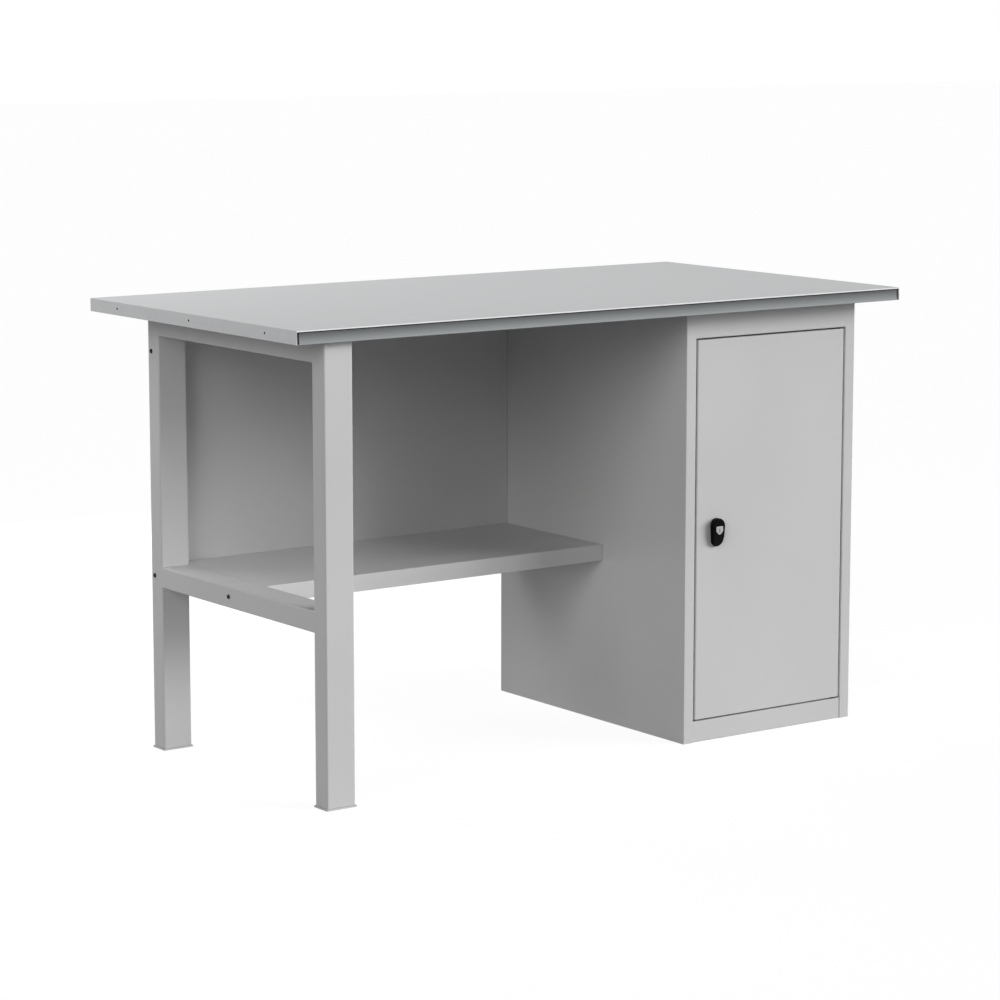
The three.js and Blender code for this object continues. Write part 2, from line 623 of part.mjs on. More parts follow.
function makeCabinet() {
  const cabinet = new THREE.Group();
  cabinet.position.set(cabinetLeft, cabinetFront, 0);
  const fromLeft = (x) => x;
  const fromRight = (x) => CABINET_WIDTH - x;
  const floorFront = RAIL_FLANGE + SEAT;
  const floorBack = backSheetFront - SEAT;
  addPiece(cabinet, 'cabinet_side_left', cabinetSide(fromLeft, bayBolts), PAINT);
  addPiece(cabinet, 'cabinet_side_right', cabinetSide(fromRight, []), PAINT);
  addPiece(cabinet, 'cabinet_back',
    box(insideLeft, insideRight, backSheetFront, backSheetRear, SEAT, supportTop), PAINT);
  addPiece(cabinet, 'cabinet_floor',
    tray(insideLeft, insideRight, floorFront, floorBack, PLINTH_HEIGHT, PLINTH_HEIGHT), PAINT);
  addPiece(cabinet, 'cabinet_top', cabinetTop(), PAINT);
  addPiece(cabinet, 'top_rail', topRail(), PAINT);
  addPiece(cabinet, 'plinth_rail', plinthRail(), PAINT);

  const clearHeight = supportTop - SHEET_GAUGE - PLINTH_HEIGHT;
  const shelfLeft = insideLeft + BOLT_HEAD_HEIGHT + SHELF_END_PLAY;
  const shelfBack = floorBack - SHELF_END_PLAY;
  CABINET_SHELF_NAMES.forEach((name, index) => {
    const top = PLINTH_HEIGHT + clearHeight * (index + 1) / (CABINET_SHELF_NAMES.length + 1);
    const angleTop = top - CABINET_SHELF_HEIGHT - SEAT;
    const sides = [shelfLeft, CABINET_WIDTH - shelfLeft];
    const shelf = tray(...sides, CABINET_SHELF_SETBACK, shelfBack, top, CABINET_SHELF_HEIGHT);
    const angleRun = [CABINET_SHELF_SETBACK, shelfBack];
    addPiece(cabinet, `cabinet_shelf_${name}`, shelf, PAINT);
    addPiece(cabinet, `shelf_angle_${name}_left`, shelfAngle(fromLeft, angleTop, ...angleRun), PAINT);
    addPiece(cabinet, `shelf_angle_${name}_right`, shelfAngle(fromRight, angleTop, ...angleRun), PAINT);
  });

  const pinReach = SHEET_GAUGE + HINGE_PLATE_THICKNESS + 2 * SEAT;
  const upperSeat = railBottom + SHEET_GAUGE + SEAT;
  const lowerSeat = PLINTH_HEIGHT - SHEET_GAUGE - SEAT;
  addPiece(cabinet, 'hinge_pin_upper', hingePin(upperSeat, doorTop - pinReach), ZINC_PLATE);
  addPiece(cabinet, 'hinge_pin_lower', hingePin(lowerSeat, doorBottom + pinReach), ZINC_PLATE);
  addPiece(cabinet, 'door_buffer_upper', doorBuffer(doorTop - BUFFER_END_INSET), RUBBER);
  addPiece(cabinet, 'door_buffer_lower', doorBuffer(doorBottom + BUFFER_END_INSET), RUBBER);
  cabinet.add(makeDoor());
  return cabinet;
}

// Door: built around its hinge axis, which is x = 0, y = 0 in the door's frame

const doorRight = PIVOT_INSET;
const doorLeft = POST_WIDTH + DOOR_SIDE_GAP - pivotX;
const doorFace = -PIVOT_INSET;
const doorInnerFace = doorFace + SHEET_GAUGE;
const doorBack = doorFace + DOOR_THICKNESS;
const lockX = LOCK_INSET - pivotX;
const boreFit = BARREL_RADIUS + SEAT;

// A deep tray with a hem turned in round its open back
function doorPanel() {
  const hollow = box(
    doorLeft + SHEET_GAUGE, doorRight - SHEET_GAUGE, doorInnerFace, doorBack - SHEET_GAUGE,
    doorBottom + SHEET_GAUGE, doorTop - SHEET_GAUGE,
  );
  const mouth = box(
    doorLeft + DOOR_HEM, doorRight - DOOR_HEM, 0, doorBack + CUT_PAST,
    doorBottom + DOOR_HEM, doorTop - DOOR_HEM,
  );
  const topCut = [doorTop - SHEET_GAUGE - CUT_PAST, doorTop + CUT_PAST];
  const bottomCut = [doorBottom - CUT_PAST, doorBottom + SHEET_GAUGE + CUT_PAST];
  const toDoor = [-pivotX, -PIVOT_INSET, 0];
  return carve(
    box(doorLeft, doorRight, doorFace, doorBack, doorBottom, doorTop),
    hollow,
    mouth,
    bar('y', boreFit, doorFace - CUT_PAST, doorInnerFace + CUT_PAST, [lockX, lockZ]),
    bar('z', bushRadius + SEAT, ...topCut, [0, 0]),
    bar('z', bushRadius + SEAT, ...bottomCut, [0, 0]),
    rodSlot(1, ...topCut).translate(...toDoor),
    rodSlot(-1, ...bottomCut).translate(...toDoor),
  );
}

function doorStiffener() {
  const hat = hatSection(DOOR_HAT_WEB, DOOR_HAT_FLANGE, DOOR_HAT_DEPTH, 1);
  const middle = (doorLeft + doorRight) / 2;
  const ends = [doorBottom + DOOR_HAT_END_GAP, doorTop - DOOR_HAT_END_GAP];
  return extrudeUp(hat, ...ends).translate(middle, doorInnerFace + SEAT, 0);
}

// The plate behind the top or bottom edge of the door that carries the hinge bush
function hingePlate(edge, inward) {
  const outer = edge + inward * (SHEET_GAUGE + SEAT);
  const inner = outer + inward * HINGE_PLATE_THICKNESS;
  const right = doorRight - SHEET_GAUGE - SEAT;
  const plate = box(
    right - HINGE_PLATE_LENGTH, right, doorInnerFace + SEAT, doorBack - SHEET_GAUGE - SEAT, outer, inner,
  );
  const hole = bar('z', bushRadius + SEAT, outer - inward * CUT_PAST, inner + inward * CUT_PAST, [0, 0]);
  return carve(plate, hole);
}

// A flanged bush: its flange fills the gap at the end of the door and its barrel lines the plate.
function hingeBush(edge, inward) {
  const flangeInner = edge - inward * SEAT;
  const flangeOuter = edge - inward * (DOOR_END_GAP - SEAT);
  const barrelEnd = edge + inward * (SHEET_GAUGE + SEAT + HINGE_PLATE_THICKNESS);
  const blank = fuse(
    bar('z', BUSH_FLANGE_RADIUS, flangeOuter, flangeInner, [0, 0]),
    bar('z', bushRadius, flangeOuter, barrelEnd, [0, 0]),
  );
  const boreEnds = [flangeOuter - inward * CUT_PAST, barrelEnd + inward * CUT_PAST];
  return carve(blank, bar('z', HINGE_PIN_RADIUS + RUNNING_FIT, ...boreEnds, [0, 0]));
}

function rodGuide(side, z) {
  const middle = lockX + side * rodOffset;
  const half = ROD_WIDTH / 2 + GUIDE_MARGIN;
  const slotHalf = ROD_WIDTH / 2 + ROD_CLEARANCE;
  const z0 = z - GUIDE_HEIGHT / 2;
  const z1 = z + GUIDE_HEIGHT / 2;
  const block = box(middle - half, middle + half, doorInnerFace + SEAT, doorBack - SEAT, z0, z1);
  const slot = box(
    middle - slotHalf, middle + slotHalf, rodFront - ROD_CLEARANCE, rodBack + ROD_CLEARANCE,
    z0 - CUT_PAST, z1 + CUT_PAST,
  );
  return carve(block, slot);
}

function makeDoor() {
  const door = new THREE.Group();
  door.position.set(pivotX, PIVOT_INSET, 0);
  addPiece(door, 'door_panel', doorPanel(), PAINT);
  addPiece(door, 'door_stiffener', doorStiffener(), PAINT);
  addPiece(door, 'hinge_plate_upper', hingePlate(doorTop, -1), ZINC_PLATE);
  addPiece(door, 'hinge_plate_lower', hingePlate(doorBottom, 1), ZINC_PLATE);
  addPiece(door, 'hinge_bush_upper', hingeBush(doorTop, -1), NYLON);
  addPiece(door, 'hinge_bush_lower', hingeBush(doorBottom, 1), NYLON);
  addPiece(door, 'rod_guide_upper', rodGuide(1, doorTop - GUIDE_END_INSET), NYLON);
  addPiece(door, 'rod_guide_lower', rodGuide(-1, doorBottom + GUIDE_END_INSET), NYLON);
  door.add(makeLock());
  return door;
}

// Lock: built around its spindle, which is x = 0, z = 0 in the lock's frame

const bezelBack = doorFace - SEAT;
const bezelFront = bezelBack - BEZEL_THICKNESS;
const knobBack = bezelFront - SEAT;
const knobFront = doorFace - KNOB_PROTRUSION;
const lockNutFront = doorInnerFace + SEAT;
const lockNutBack = lockNutFront + LOCK_NUT_THICKNESS;
const camFront = lockNutBack + SEAT;
const camBack = camFront + CAM_THICKNESS;
const plugBack = knobFront + PLUG_LENGTH;

function lockBezel() {
  return carve(
    fuse(
      bar('y', BEZEL_RADIUS, bezelFront, bezelBack, [0, 0]),
      bar('y', BARREL_RADIUS, bezelFront, lockNutBack, [0, 0]),
    ),
    bar('y', SLEEVE_RADIUS + SEAT, bezelFront - CUT_PAST, lockNutBack + CUT_PAST, [0, 0]),
  );
}

function lockNut() {
  return carve(
    bar('y', LOCK_NUT_RADIUS, lockNutFront, lockNutBack, [0, 0], HEX_SIDES),
    bar('y', BARREL_RADIUS + SEAT, lockNutFront - CUT_PAST, lockNutBack + CUT_PAST, [0, 0]),
  );
}

// Drop outline: a wide round head over the spindle and a narrower round tip below it
function knobOutline() {
  const lean = Math.asin((KNOB_TOP_RADIUS - KNOB_TIP_RADIUS) / (KNOB_TOP_RISE + KNOB_TIP_DROP));
  const outline = new THREE.Shape();
  outline.absarc(0, KNOB_TOP_RISE, KNOB_TOP_RADIUS, -lean, Math.PI + lean);
  outline.absarc(0, -KNOB_TIP_DROP, KNOB_TIP_RADIUS, Math.PI + lean, 2 * Math.PI - lean);
  return outline;
}

// Shield outline of the plate around the key plug; grow widens it all round.
function shieldOutline(grow) {
  const half = SHIELD_HALF_WIDTH + grow;
  const shoulder = half - SHIELD_HALF_WIDTH;
  const tipHalf = SHIELD_HALF_WIDTH / 3 + grow;
  return polygon([
    [-half, SHIELD_TOP + grow], [-half, -shoulder], [-tipHalf, -SHIELD_TIP - grow],
    [tipHalf, -SHIELD_TIP - grow], [half, -shoulder], [half, SHIELD_TOP + grow],
  ]);
}

function handleKnob() {
  const tangHalf = TANG_SIZE / 2;
  const sleeveBack = camFront - SEAT;
  const blank = fuse(
    extrudeBack(knobOutline(), knobFront, knobBack, KNOB_SEGMENTS),
    bar('y', SLEEVE_RADIUS, knobBack - BEZEL_THICKNESS, sleeveBack, [0, 0]),
    box(-tangHalf, tangHalf, sleeveBack - CUT_PAST, camBack, -tangHalf, tangHalf),
  );
  const recessBack = knobFront + SHIELD_THICKNESS + SEAT;
  const screwEnd = camBack - CAM_SCREW_LENGTH - SEAT;
  return carve(
    blank,
    extrudeBack(shieldOutline(SEAT), knobFront - CUT_PAST, recessBack),
    bar('y', PLUG_RADIUS + SEAT, knobFront - CUT_PAST, plugBack + SEAT, [0, 0]),
    bar('y', CAM_SCREW_RADIUS + SEAT, screwEnd, camBack + CUT_PAST, [0, 0]),
  );
}

function keyShield() {
  return carve(
    extrudeBack(shieldOutline(0), knobFront, knobFront + SHIELD_THICKNESS),
    bar('y', PLUG_RADIUS + SEAT, knobFront - CUT_PAST, knobFront + SHIELD_THICKNESS + CUT_PAST, [0, 0]),
  );
}

function keyPlug() {
  const keyhole = box(
    -KEYHOLE_WIDTH / 2, KEYHOLE_WIDTH / 2, knobFront - CUT_PAST, knobFront + KEYHOLE_DEPTH,
    -KEYHOLE_HEIGHT / 2, KEYHOLE_HEIGHT / 2,
  );
  return carve(bar('y', PLUG_RADIUS, knobFront, plugBack, [0, 0]), keyhole);
}

// The cam plate leans 45 degrees, so a quarter turn carries its two pins from one side of level
// to the other: the right-hand pin lifts the upper rod and the left-hand pin lowers the lower rod.
const camRise = CAM_THROW * Math.SQRT1_2;

function lockCam() {
  const reach = CAM_THROW + CAM_WIDTH / 2;
  const tangHalf = TANG_SIZE / 2 + SEAT;
  const pinBack = rodBack + CUT_PAST;
  const plate = box(-reach, reach, camFront, camBack, -CAM_WIDTH / 2, CAM_WIDTH / 2).rotateY(Math.PI / 4);
  const pin = (side) => {
    return bar('y', CAM_PIN_RADIUS, camFront + SEAT, pinBack, [side * camRise, -side * camRise]);
  };
  return carve(
    fuse(plate, pin(1), pin(-1)),
    box(-tangHalf, tangHalf, camFront - CUT_PAST, camBack + CUT_PAST, -tangHalf, tangHalf),
  );
}

function camScrew() {
  const headFront = camBack + SEAT;
  const headBack = headFront + CAM_SCREW_HEAD_HEIGHT;
  return fuse(
    bar('y', CAM_SCREW_HEAD_RADIUS, headFront, headBack, [0, 0]),
    bar('y', CAM_SCREW_RADIUS, camBack - CAM_SCREW_LENGTH, headBack - SEAT, [0, 0]),
  );
}

// A flat lock rod with a slotted yoke at its inner end; side is 1 for the upper rod, -1 for the lower,
// which is the same shape turned half round.
function lockRod(side) {
  const reach = Math.abs((side > 0 ? doorTop : doorBottom) - lockZ) - ROD_TIP_RECESS;
  const slotHalf = CAM_PIN_RADIUS + YOKE_PLAY;
  const slotInner = camRise - slotHalf;
  const slotOuter = CAM_THROW + slotHalf;
  const yokeInner = slotInner - YOKE_MARGIN / 2;
  const yokeOuter = slotOuter + YOKE_MARGIN;
  const yokeTop = -camRise + slotHalf + YOKE_MARGIN;
  const yokeBottom = -camRise - slotHalf - YOKE_MARGIN;
  const barInner = rodOffset - ROD_WIDTH / 2;
  const barOuter = rodOffset + ROD_WIDTH / 2;
  const turned = (points) => polygon(points.map(([x, z]) => [side * x, side * z]));
  const outline = turned([
    [yokeInner, yokeBottom], [yokeOuter, yokeBottom], [yokeOuter, yokeTop], [barOuter, yokeTop],
    [barOuter, reach], [barInner, reach], [barInner, yokeTop], [yokeInner, yokeTop],
  ]);
  outline.holes.push(turned([
    [slotInner, -camRise - slotHalf], [slotOuter, -camRise - slotHalf],
    [slotOuter, -camRise + slotHalf], [slotInner, -camRise + slotHalf],
  ]));
  return extrudeBack(outline, rodFront, rodBack);
}

function makeLock() {
  const lock = new THREE.Group();
  lock.position.set(lockX, 0, lockZ);
  addPiece(lock, 'lock_bezel', lockBezel(), BLACK_CASTING);
  addPiece(lock, 'lock_nut', lockNut(), ZINC_PLATE);
  addPiece(lock, 'handle_knob', handleKnob(), BLACK_CASTING);
  addPiece(lock, 'key_shield', keyShield(), NICKEL);
  addPiece(lock, 'key_plug', keyPlug(), NICKEL);
  addPiece(lock, 'lock_cam', lockCam(), ZINC_PLATE);
  addPiece(lock, 'cam_screw', camScrew(), ZINC_PLATE);
  addPiece(lock, 'upper_rod', lockRod(1), ZINC_PLATE);
  addPiece(lock, 'lower_rod', lockRod(-1), ZINC_PLATE);
  return lock;
}

const workbench = new THREE.Group();
workbench.name = 'workbench';
workbench.add(makeWorktop(), makeLegFrame(), makeBay(), makeCabinet());

export default workbench;
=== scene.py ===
"""Steel workbench with a one-door cabinet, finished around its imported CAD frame. Metres, +Z up."""

import math

import bmesh
import bpy
from mathutils import Matrix, Vector


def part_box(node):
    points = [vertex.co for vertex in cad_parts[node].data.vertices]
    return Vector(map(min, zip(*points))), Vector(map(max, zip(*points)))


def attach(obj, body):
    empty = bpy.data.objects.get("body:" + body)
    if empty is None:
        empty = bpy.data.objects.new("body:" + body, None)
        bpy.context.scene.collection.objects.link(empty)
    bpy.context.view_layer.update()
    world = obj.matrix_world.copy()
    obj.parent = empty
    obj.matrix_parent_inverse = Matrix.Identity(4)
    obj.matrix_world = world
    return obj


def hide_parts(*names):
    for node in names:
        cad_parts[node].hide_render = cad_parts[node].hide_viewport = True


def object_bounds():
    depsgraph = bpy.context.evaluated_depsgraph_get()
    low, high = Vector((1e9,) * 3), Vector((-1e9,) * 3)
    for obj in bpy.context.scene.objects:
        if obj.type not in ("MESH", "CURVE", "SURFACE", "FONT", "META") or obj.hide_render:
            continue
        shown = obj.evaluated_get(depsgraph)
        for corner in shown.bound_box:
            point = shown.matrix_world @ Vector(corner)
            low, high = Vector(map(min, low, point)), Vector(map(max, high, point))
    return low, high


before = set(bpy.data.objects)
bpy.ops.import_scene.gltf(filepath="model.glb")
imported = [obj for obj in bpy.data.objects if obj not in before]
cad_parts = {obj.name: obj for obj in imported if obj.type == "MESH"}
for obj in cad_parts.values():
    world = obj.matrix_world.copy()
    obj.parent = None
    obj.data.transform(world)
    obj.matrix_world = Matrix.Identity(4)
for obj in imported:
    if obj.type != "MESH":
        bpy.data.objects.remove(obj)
cad_low, cad_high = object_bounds()

MM = 0.001
QUARTER_TURN = math.radians(90)
# Points nearer than this are one point, and directions whose cosine is higher are one direction
SAME_PLACE = 0.001 * MM
SAME_WAY = 0.999
BENCH = "bench"
DOOR = "door"
HANDLE = "handle"
KEY = "key"

# Sheet and tube
SHEET_GAUGE = 1.2 * MM
FOLD_RADIUS = 2.0 * MM
DOOR_FOLD_RADIUS = 1.6 * MM
LEAST_FOLD_RADIUS = 0.3 * MM
FOLD_STEPS = 4
TUBE_CORNER = 3.2 * MM
TUBE_CORNER_STEPS = 5
BEAM_WELD = 2.6 * MM
RAIL_WELD = 1.75 * MM
FOOT_EDGE = 0.5 * MM
# Only faces wider than this are folded; narrower ones are cut edges
WIDE_FACE = 4 * MM

# Worktop
CLADDING_GAUGE = 1.0 * MM
CLADDING_FOLD = 1.4 * MM
LIP_DROP = 2.6 * MM
EDGING_TOP_GAP = 1.8 * MM
EDGING_START = 1.2 * MM
EDGING_FINISH = 0.2 * MM
EDGING_HOLLOW = 0.9 * MM
EDGING_FOLD = 0.8 * MM
EDGING_RETURN = 31 * MM
EDGING_END_GAP = 6.0 * MM
EDGING_STEPS = 10
BOARD_END_SETBACK = 5.5 * MM
BOARD_FRONT_SETBACK = 30 * MM
BOARD_EDGE = 0.6 * MM
BACKING_THICKNESS = 0.4 * MM
EDGE_SCREW_SIDES = 16
EDGE_SCREW_RADIUS = 2.3 * MM
EDGE_SCREW_PROUD = 0.5 * MM
EDGE_SCREW_CROWN = 0.75
EDGE_SCREW_SOCKET_INSET = 0.45
EDGE_SCREW_SOCKET_DEPTH = 0.4 * MM
EDGE_SCREW_SPOTS = (-0.262, 0.0, 0.264)

# Lock
KNOB_TOP_RADIUS = 14.6 * MM
KNOB_TOP_RISE = 9.0 * MM
KNOB_TIP_RADIUS = 12.6 * MM
KNOB_TIP_DROP = 19.4 * MM
KNOB_EDGE = 2.4 * MM
KNOB_EDGE_STEPS = 5
KNOB_LIFT = 0.3 * MM
KNOB_TAIL_GAP = 2.5 * MM
KNOB_TAIL_FALL = 6.5 * MM
KEY_PLATE_HALF_WIDTH = 8.2 * MM
KEY_PLATE_TIP_LIFT = 2.5 * MM
KEY_PLATE_SHOULDER = 0.5 * MM
KEY_PLATE_TIP_HALF_WIDTH = 2.2 * MM
KEY_PLATE_CORNER = 1.6 * MM
KEY_PLATE_RIM = 0.175 * MM
KEY_PLATE_SINK = 0.2 * MM
SHIELD_PROUD = 0.7 * MM
PLUG_PLAY = 0.12 * MM
KNOB_ARC_STEPS = 28

# Small hardware
BOLT_SIDES = 24
BOLT_HEAD_HEIGHT = 2.2 * MM
BOLT_CROWN_SHARE = 0.72
BOLT_CROWN_EDGE = 0.7 * MM
BOLT_CROWN_STEPS = 3
BOLT_SOCKET_INSET = 0.25
BOLT_SOCKET_DEPTH = 1.3 * MM
BOLT_SHANK_RADIUS = 2.9 * MM
HARDWARE_EDGE = 0.35 * MM

# The turn between two faces at an edge: under FLAT_ANGLE they are one face, over SHARP_ANGLE their
# shading breaks, and over the other three the edge of such a piece is rounded
FLAT_ANGLE = math.radians(1)
SHARP_ANGLE = math.radians(38)
BEND_ANGLE = math.radians(45)
RIM_ANGLE = math.radians(50)
FOLD_ANGLE = math.radians(60)
# Rounding steps of small edges
EDGE_STEPS = 2


# Materials

def srgb(hex_colour):
    """Linear RGBA of an sRGB hex colour."""
    channels = [int(hex_colour[i:i + 2], 16) / 255 for i in (1, 3, 5)]
    linear = [c / 12.92 if c <= 0.04045 else ((c + 0.055) / 1.055) ** 2.4 for c in channels]
    return (*linear, 1.0)


def add_node(tree, kind, settings=None, values=None, links=None, stops=None):
    """Adds a node: its properties, its sockets' numbers, its linked inputs, and the stops of a ramp."""
    made = tree.nodes.new(kind)
    for key, value in (settings or {}).items():
        setattr(made, key, value)
    for key, value in (values or {}).items():
        made.inputs[key].default_value = value
    for key, (source, output) in (links or {}).items():
        tree.links.new(source.outputs[output], made.inputs[key])
    for number, (place, colour) in enumerate(stops or []):
        if number == len(made.color_ramp.elements):
            made.color_ramp.elements.new(place)
        made.color_ramp.elements[number].position = place
        made.color_ramp.elements[number].color = srgb(colour)
    return made


def empty_tree(owner):
    """The node tree of a new material or world, without its default nodes."""
    owner.use_nodes = True
    owner.node_tree.nodes.clear()
    return owner.node_tree


def new_material(name, values):
    """A Principled material with its constants set; also its tree, shader and texture coordinates."""
    material = bpy.data.materials.new(name)
    tree = empty_tree(material)
    shader = add_node(tree, "ShaderNodeBsdfPrincipled", values=values)
    add_node(tree, "ShaderNodeOutputMaterial", links={"Surface": (shader, "BSDF")})
    coords = add_node(tree, "ShaderNodeTexCoord")
    return material, tree, shader, coords


def vary_gloss(tree, shader, pattern, output, least, most):
    """Lets a pattern vary the roughness."""
    gloss = add_node(tree, "ShaderNodeMapRange", values={"To Min": least, "To Max": most},
                     links={"Value": (pattern, output)})
    tree.links.new(gloss.outputs["Result"], shader.inputs["Roughness"])


def add_relief(tree, shader, pattern, output, strength, depth):
    """Lets a pattern roughen the surface a little."""
    bump = add_node(tree, "ShaderNodeBump", values={"Strength": strength, "Distance": depth},
                    links={"Height": (pattern, output)})
    tree.links.new(bump.outputs["Normal"], shader.inputs["Normal"])


def powder_coat():
    """Light grey polyester powder coat on steel: a satin skin with a faint orange peel."""
    material, tree, shader, coords = new_material("grey_powder_coat", {"IOR": 1.5})
    # Film thickness drifts over about 300 mm of sheet
    drift = add_node(tree, "ShaderNodeTexNoise", values={"Scale": 3.3, "Detail": 2.0},
                     links={"Vector": (coords, "Object")})
    colour = add_node(tree, "ShaderNodeValToRGB", links={"Fac": (drift, "Fac")},
                      stops=[(0.3, "#C0C0C0"), (0.7, "#C5C5C5")])
    tree.links.new(colour.outputs["Color"], shader.inputs["Base Color"])
    # Orange peel has waves of 2 mm; drawn at 5 mm, because finer ones don't show
    peel = add_node(tree, "ShaderNodeTexNoise", values={"Scale": 200.0, "Detail": 2.0},
                    links={"Vector": (coords, "Object")})
    vary_gloss(tree, shader, peel, "Fac", 0.42, 0.54)
    add_relief(tree, shader, peel, "Fac", 0.12, 0.4 * MM)
    return material


def galvanised_sheet():
    """Hot-dip galvanised sheet, skin passed: dull zinc with small blurred spangles, and a painted
    highlight on the lips.
    """
    material, tree, shader, coords = new_material("galvanised_sheet", {"Metallic": 0.5})
    # Spangles are about 8 mm across
    spangle = add_node(tree, "ShaderNodeTexVoronoi", values={"Scale": 120.0, "Randomness": 1.0},
                       links={"Vector": (coords, "Object")})
    grey = add_node(tree, "ShaderNodeRGBToBW", links={"Color": (spangle, "Color")})
    # Rolling leaves faint bands along the sheet, about 40 mm wide
    stretch = add_node(tree, "ShaderNodeMapping", values={"Scale": (1.5, 25.0, 25.0)},
                       links={"Vector": (coords, "Object")})
    bands = add_node(tree, "ShaderNodeTexNoise", values={"Scale": 1.0, "Detail": 3.0},
                     links={"Vector": (stretch, "Vector")})
    mixed = add_node(tree, "ShaderNodeMix", values={"Factor": 0.72},
                     links={"A": (grey, "Val"), "B": (bands, "Fac")})
    colour = add_node(tree, "ShaderNodeValToRGB", links={"Fac": (mixed, "Result")},
                      stops=[(0.25, "#B8B9BA"), (0.75, "#BFC0C1")])
    # Painted highlight: the lips and cut ends that face the front and the rear are mixed towards near
    # white, in place of the lamps' glint
    way = add_node(tree, "ShaderNodeSeparateXYZ", links={"Vector": (coords, "Normal")})
    highlight_mask = add_node(tree, "ShaderNodeMath", {"operation": "ABSOLUTE"}, links={0: (way, "Y")})
    lip_highlight = add_node(tree, "ShaderNodeMix", {"data_type": "RGBA"}, {"B": srgb("#E6E7E8")},
                    {"Factor": (highlight_mask, "Value"), "A": (colour, "Color")})
    tree.links.new(lip_highlight.outputs["Result"], shader.inputs["Base Color"])
    vary_gloss(tree, shader, mixed, "Result", 0.4, 0.52)
    add_relief(tree, shader, grey, "Val", 0.05, 0.3 * MM)
    return material


def galvanised_edging(low, high):
    """The rolled edge of the same zinc sheet: cooler and dull, with painted shade that darkens it
    towards the top, up under the lip.
    """
    values = {"Metallic": 0.3, "Roughness": 0.58}
    material, tree, shader, coords = new_material("galvanised_edging", values)
    place = add_node(tree, "ShaderNodeSeparateXYZ", links={"Vector": (coords, "Object")})
    lip_shade_mask = add_node(tree, "ShaderNodeMapRange", values={"From Min": low, "From Max": high},
                    links={"Value": (place, "Z")})
    # Forming drags the zinc into streaks along the edge, about 30 mm long
    stretch = add_node(tree, "ShaderNodeMapping", values={"Scale": (33.0, 400.0, 400.0)},
                       links={"Vector": (coords, "Object")})
    streak = add_node(tree, "ShaderNodeTexNoise", values={"Scale": 1.0, "Detail": 2.0},
                      links={"Vector": (stretch, "Vector")})
    level = add_node(tree, "ShaderNodeMath", {"operation": "MULTIPLY_ADD"}, {1: 0.12},
                     {0: (streak, "Fac"), 2: (lip_shade_mask, "Result")})
    # Painted shade: the colour runs from light at the bottom of the edging to dark at its top, under
    # the lip
    stops = [(0.05, "#9DA0A1"), (0.5, "#808384"), (1.0, "#4C4F50")]
    colour = add_node(tree, "ShaderNodeValToRGB", links={"Fac": (level, "Value")}, stops=stops)
    tree.links.new(colour.outputs["Color"], shader.inputs["Base Color"])
    return material


def chipboard():
    """Chipboard: pressed wood flakes a few millimetres long, coloured near black as painted shade, so
    the gap behind the edging reads dark.
    """
    material, tree, shader, coords = new_material("chipboard_dark_for_shade", {"Roughness": 0.85})
    flakes = add_node(tree, "ShaderNodeTexVoronoi", values={"Scale": 260.0},
                      links={"Vector": (coords, "Object")})
    grey = add_node(tree, "ShaderNodeRGBToBW", links={"Color": (flakes, "Color")})
    # Painted shade: the board's near-black colour stands in for the shade in the gap behind the edging
    stops = [(0.2, "#2B2A28"), (0.55, "#353331"), (0.85, "#403D3A")]
    colour = add_node(tree, "ShaderNodeValToRGB", links={"Fac": (grey, "Val")}, stops=stops)
    tree.links.new(colour.outputs["Color"], shader.inputs["Base Color"])
    add_relief(tree, shader, grey, "Val", 0.3, 0.4 * MM)
    return material


def mottled(name, values, dark, light, scale, rough):
    """A plain finish, a little uneven in colour and gloss; scale is one over the mottle's size."""
    material, tree, shader, coords = new_material(name, values)
    mottle = add_node(tree, "ShaderNodeTexNoise", values={"Scale": scale, "Detail": 3.0},
                      links={"Vector": (coords, "Object")})
    colour = add_node(tree, "ShaderNodeValToRGB", links={"Fac": (mottle, "Fac")},
                      stops=[(0.3, dark), (0.7, light)])
    tree.links.new(colour.outputs["Color"], shader.inputs["Base Color"])
    vary_gloss(tree, shader, mottle, "Fac", *rough)
    add_relief(tree, shader, mottle, "Fac", 0.1, 0.2 * MM)
    return material


worktop_low, worktop_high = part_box("worktop_sheet")
PAINT = powder_coat()
ZINC_SHEET = galvanised_sheet()
ZINC_EDGING = galvanised_edging(worktop_low.z, worktop_high.z)
CHIPBOARD = chipboard()
# Melamine-soaked backing paper: matt grey, with cloudy pulp about 10 mm across
BACKING_PAPER = mottled("melamine_backing_paper", {"IOR": 1.5},
                        "#7E7E7D", "#8A8A89", 100.0, (0.55, 0.7))
# Die-cast zinc with black enamel: its cast grain, about 2 mm across, leaves little gloss
BLACK_CASTING = mottled("black_enamelled_casting", {"IOR": 1.5, "Specular IOR Level": 0.06},
                        "#030303", "#070707", 500.0, (0.35, 0.48))
# Black oxide on steel screws: dull, slightly metallic
BLACK_STEEL = mottled("black_oxide_steel", {"Metallic": 0.5}, "#18181A", "#232325", 700.0, (0.45, 0.6))
# Bright zinc plate on pressed steel: cool grey, with a cloudy passivation about 8 mm across
ZINC_PLATE = mottled("zinc_plated_steel", {"Metallic": 1.0}, "#AEB3B9", "#C2C6CA", 120.0, (0.28, 0.42))
# Nickel plate, polished: nearly even, with soft handling marks about 3 mm across
NICKEL = mottled("polished_nickel_plate", {"Metallic": 1.0}, "#AEAEAC", "#C0C0BE", 330.0, (0.25, 0.35))
# Moulded nylon, dyed black: satin, with a faint flow pattern about 3 mm across
NYLON = mottled("moulded_black_nylon", {"IOR": 1.53}, "#161617", "#212122", 330.0, (0.5, 0.62))
# Moulded rubber: matt, with bloom about 2 mm across
RUBBER = mottled("moulded_rubber", {"IOR": 1.5}, "#1C1C1D", "#29292A", 500.0, (0.8, 0.92))


# Shapes

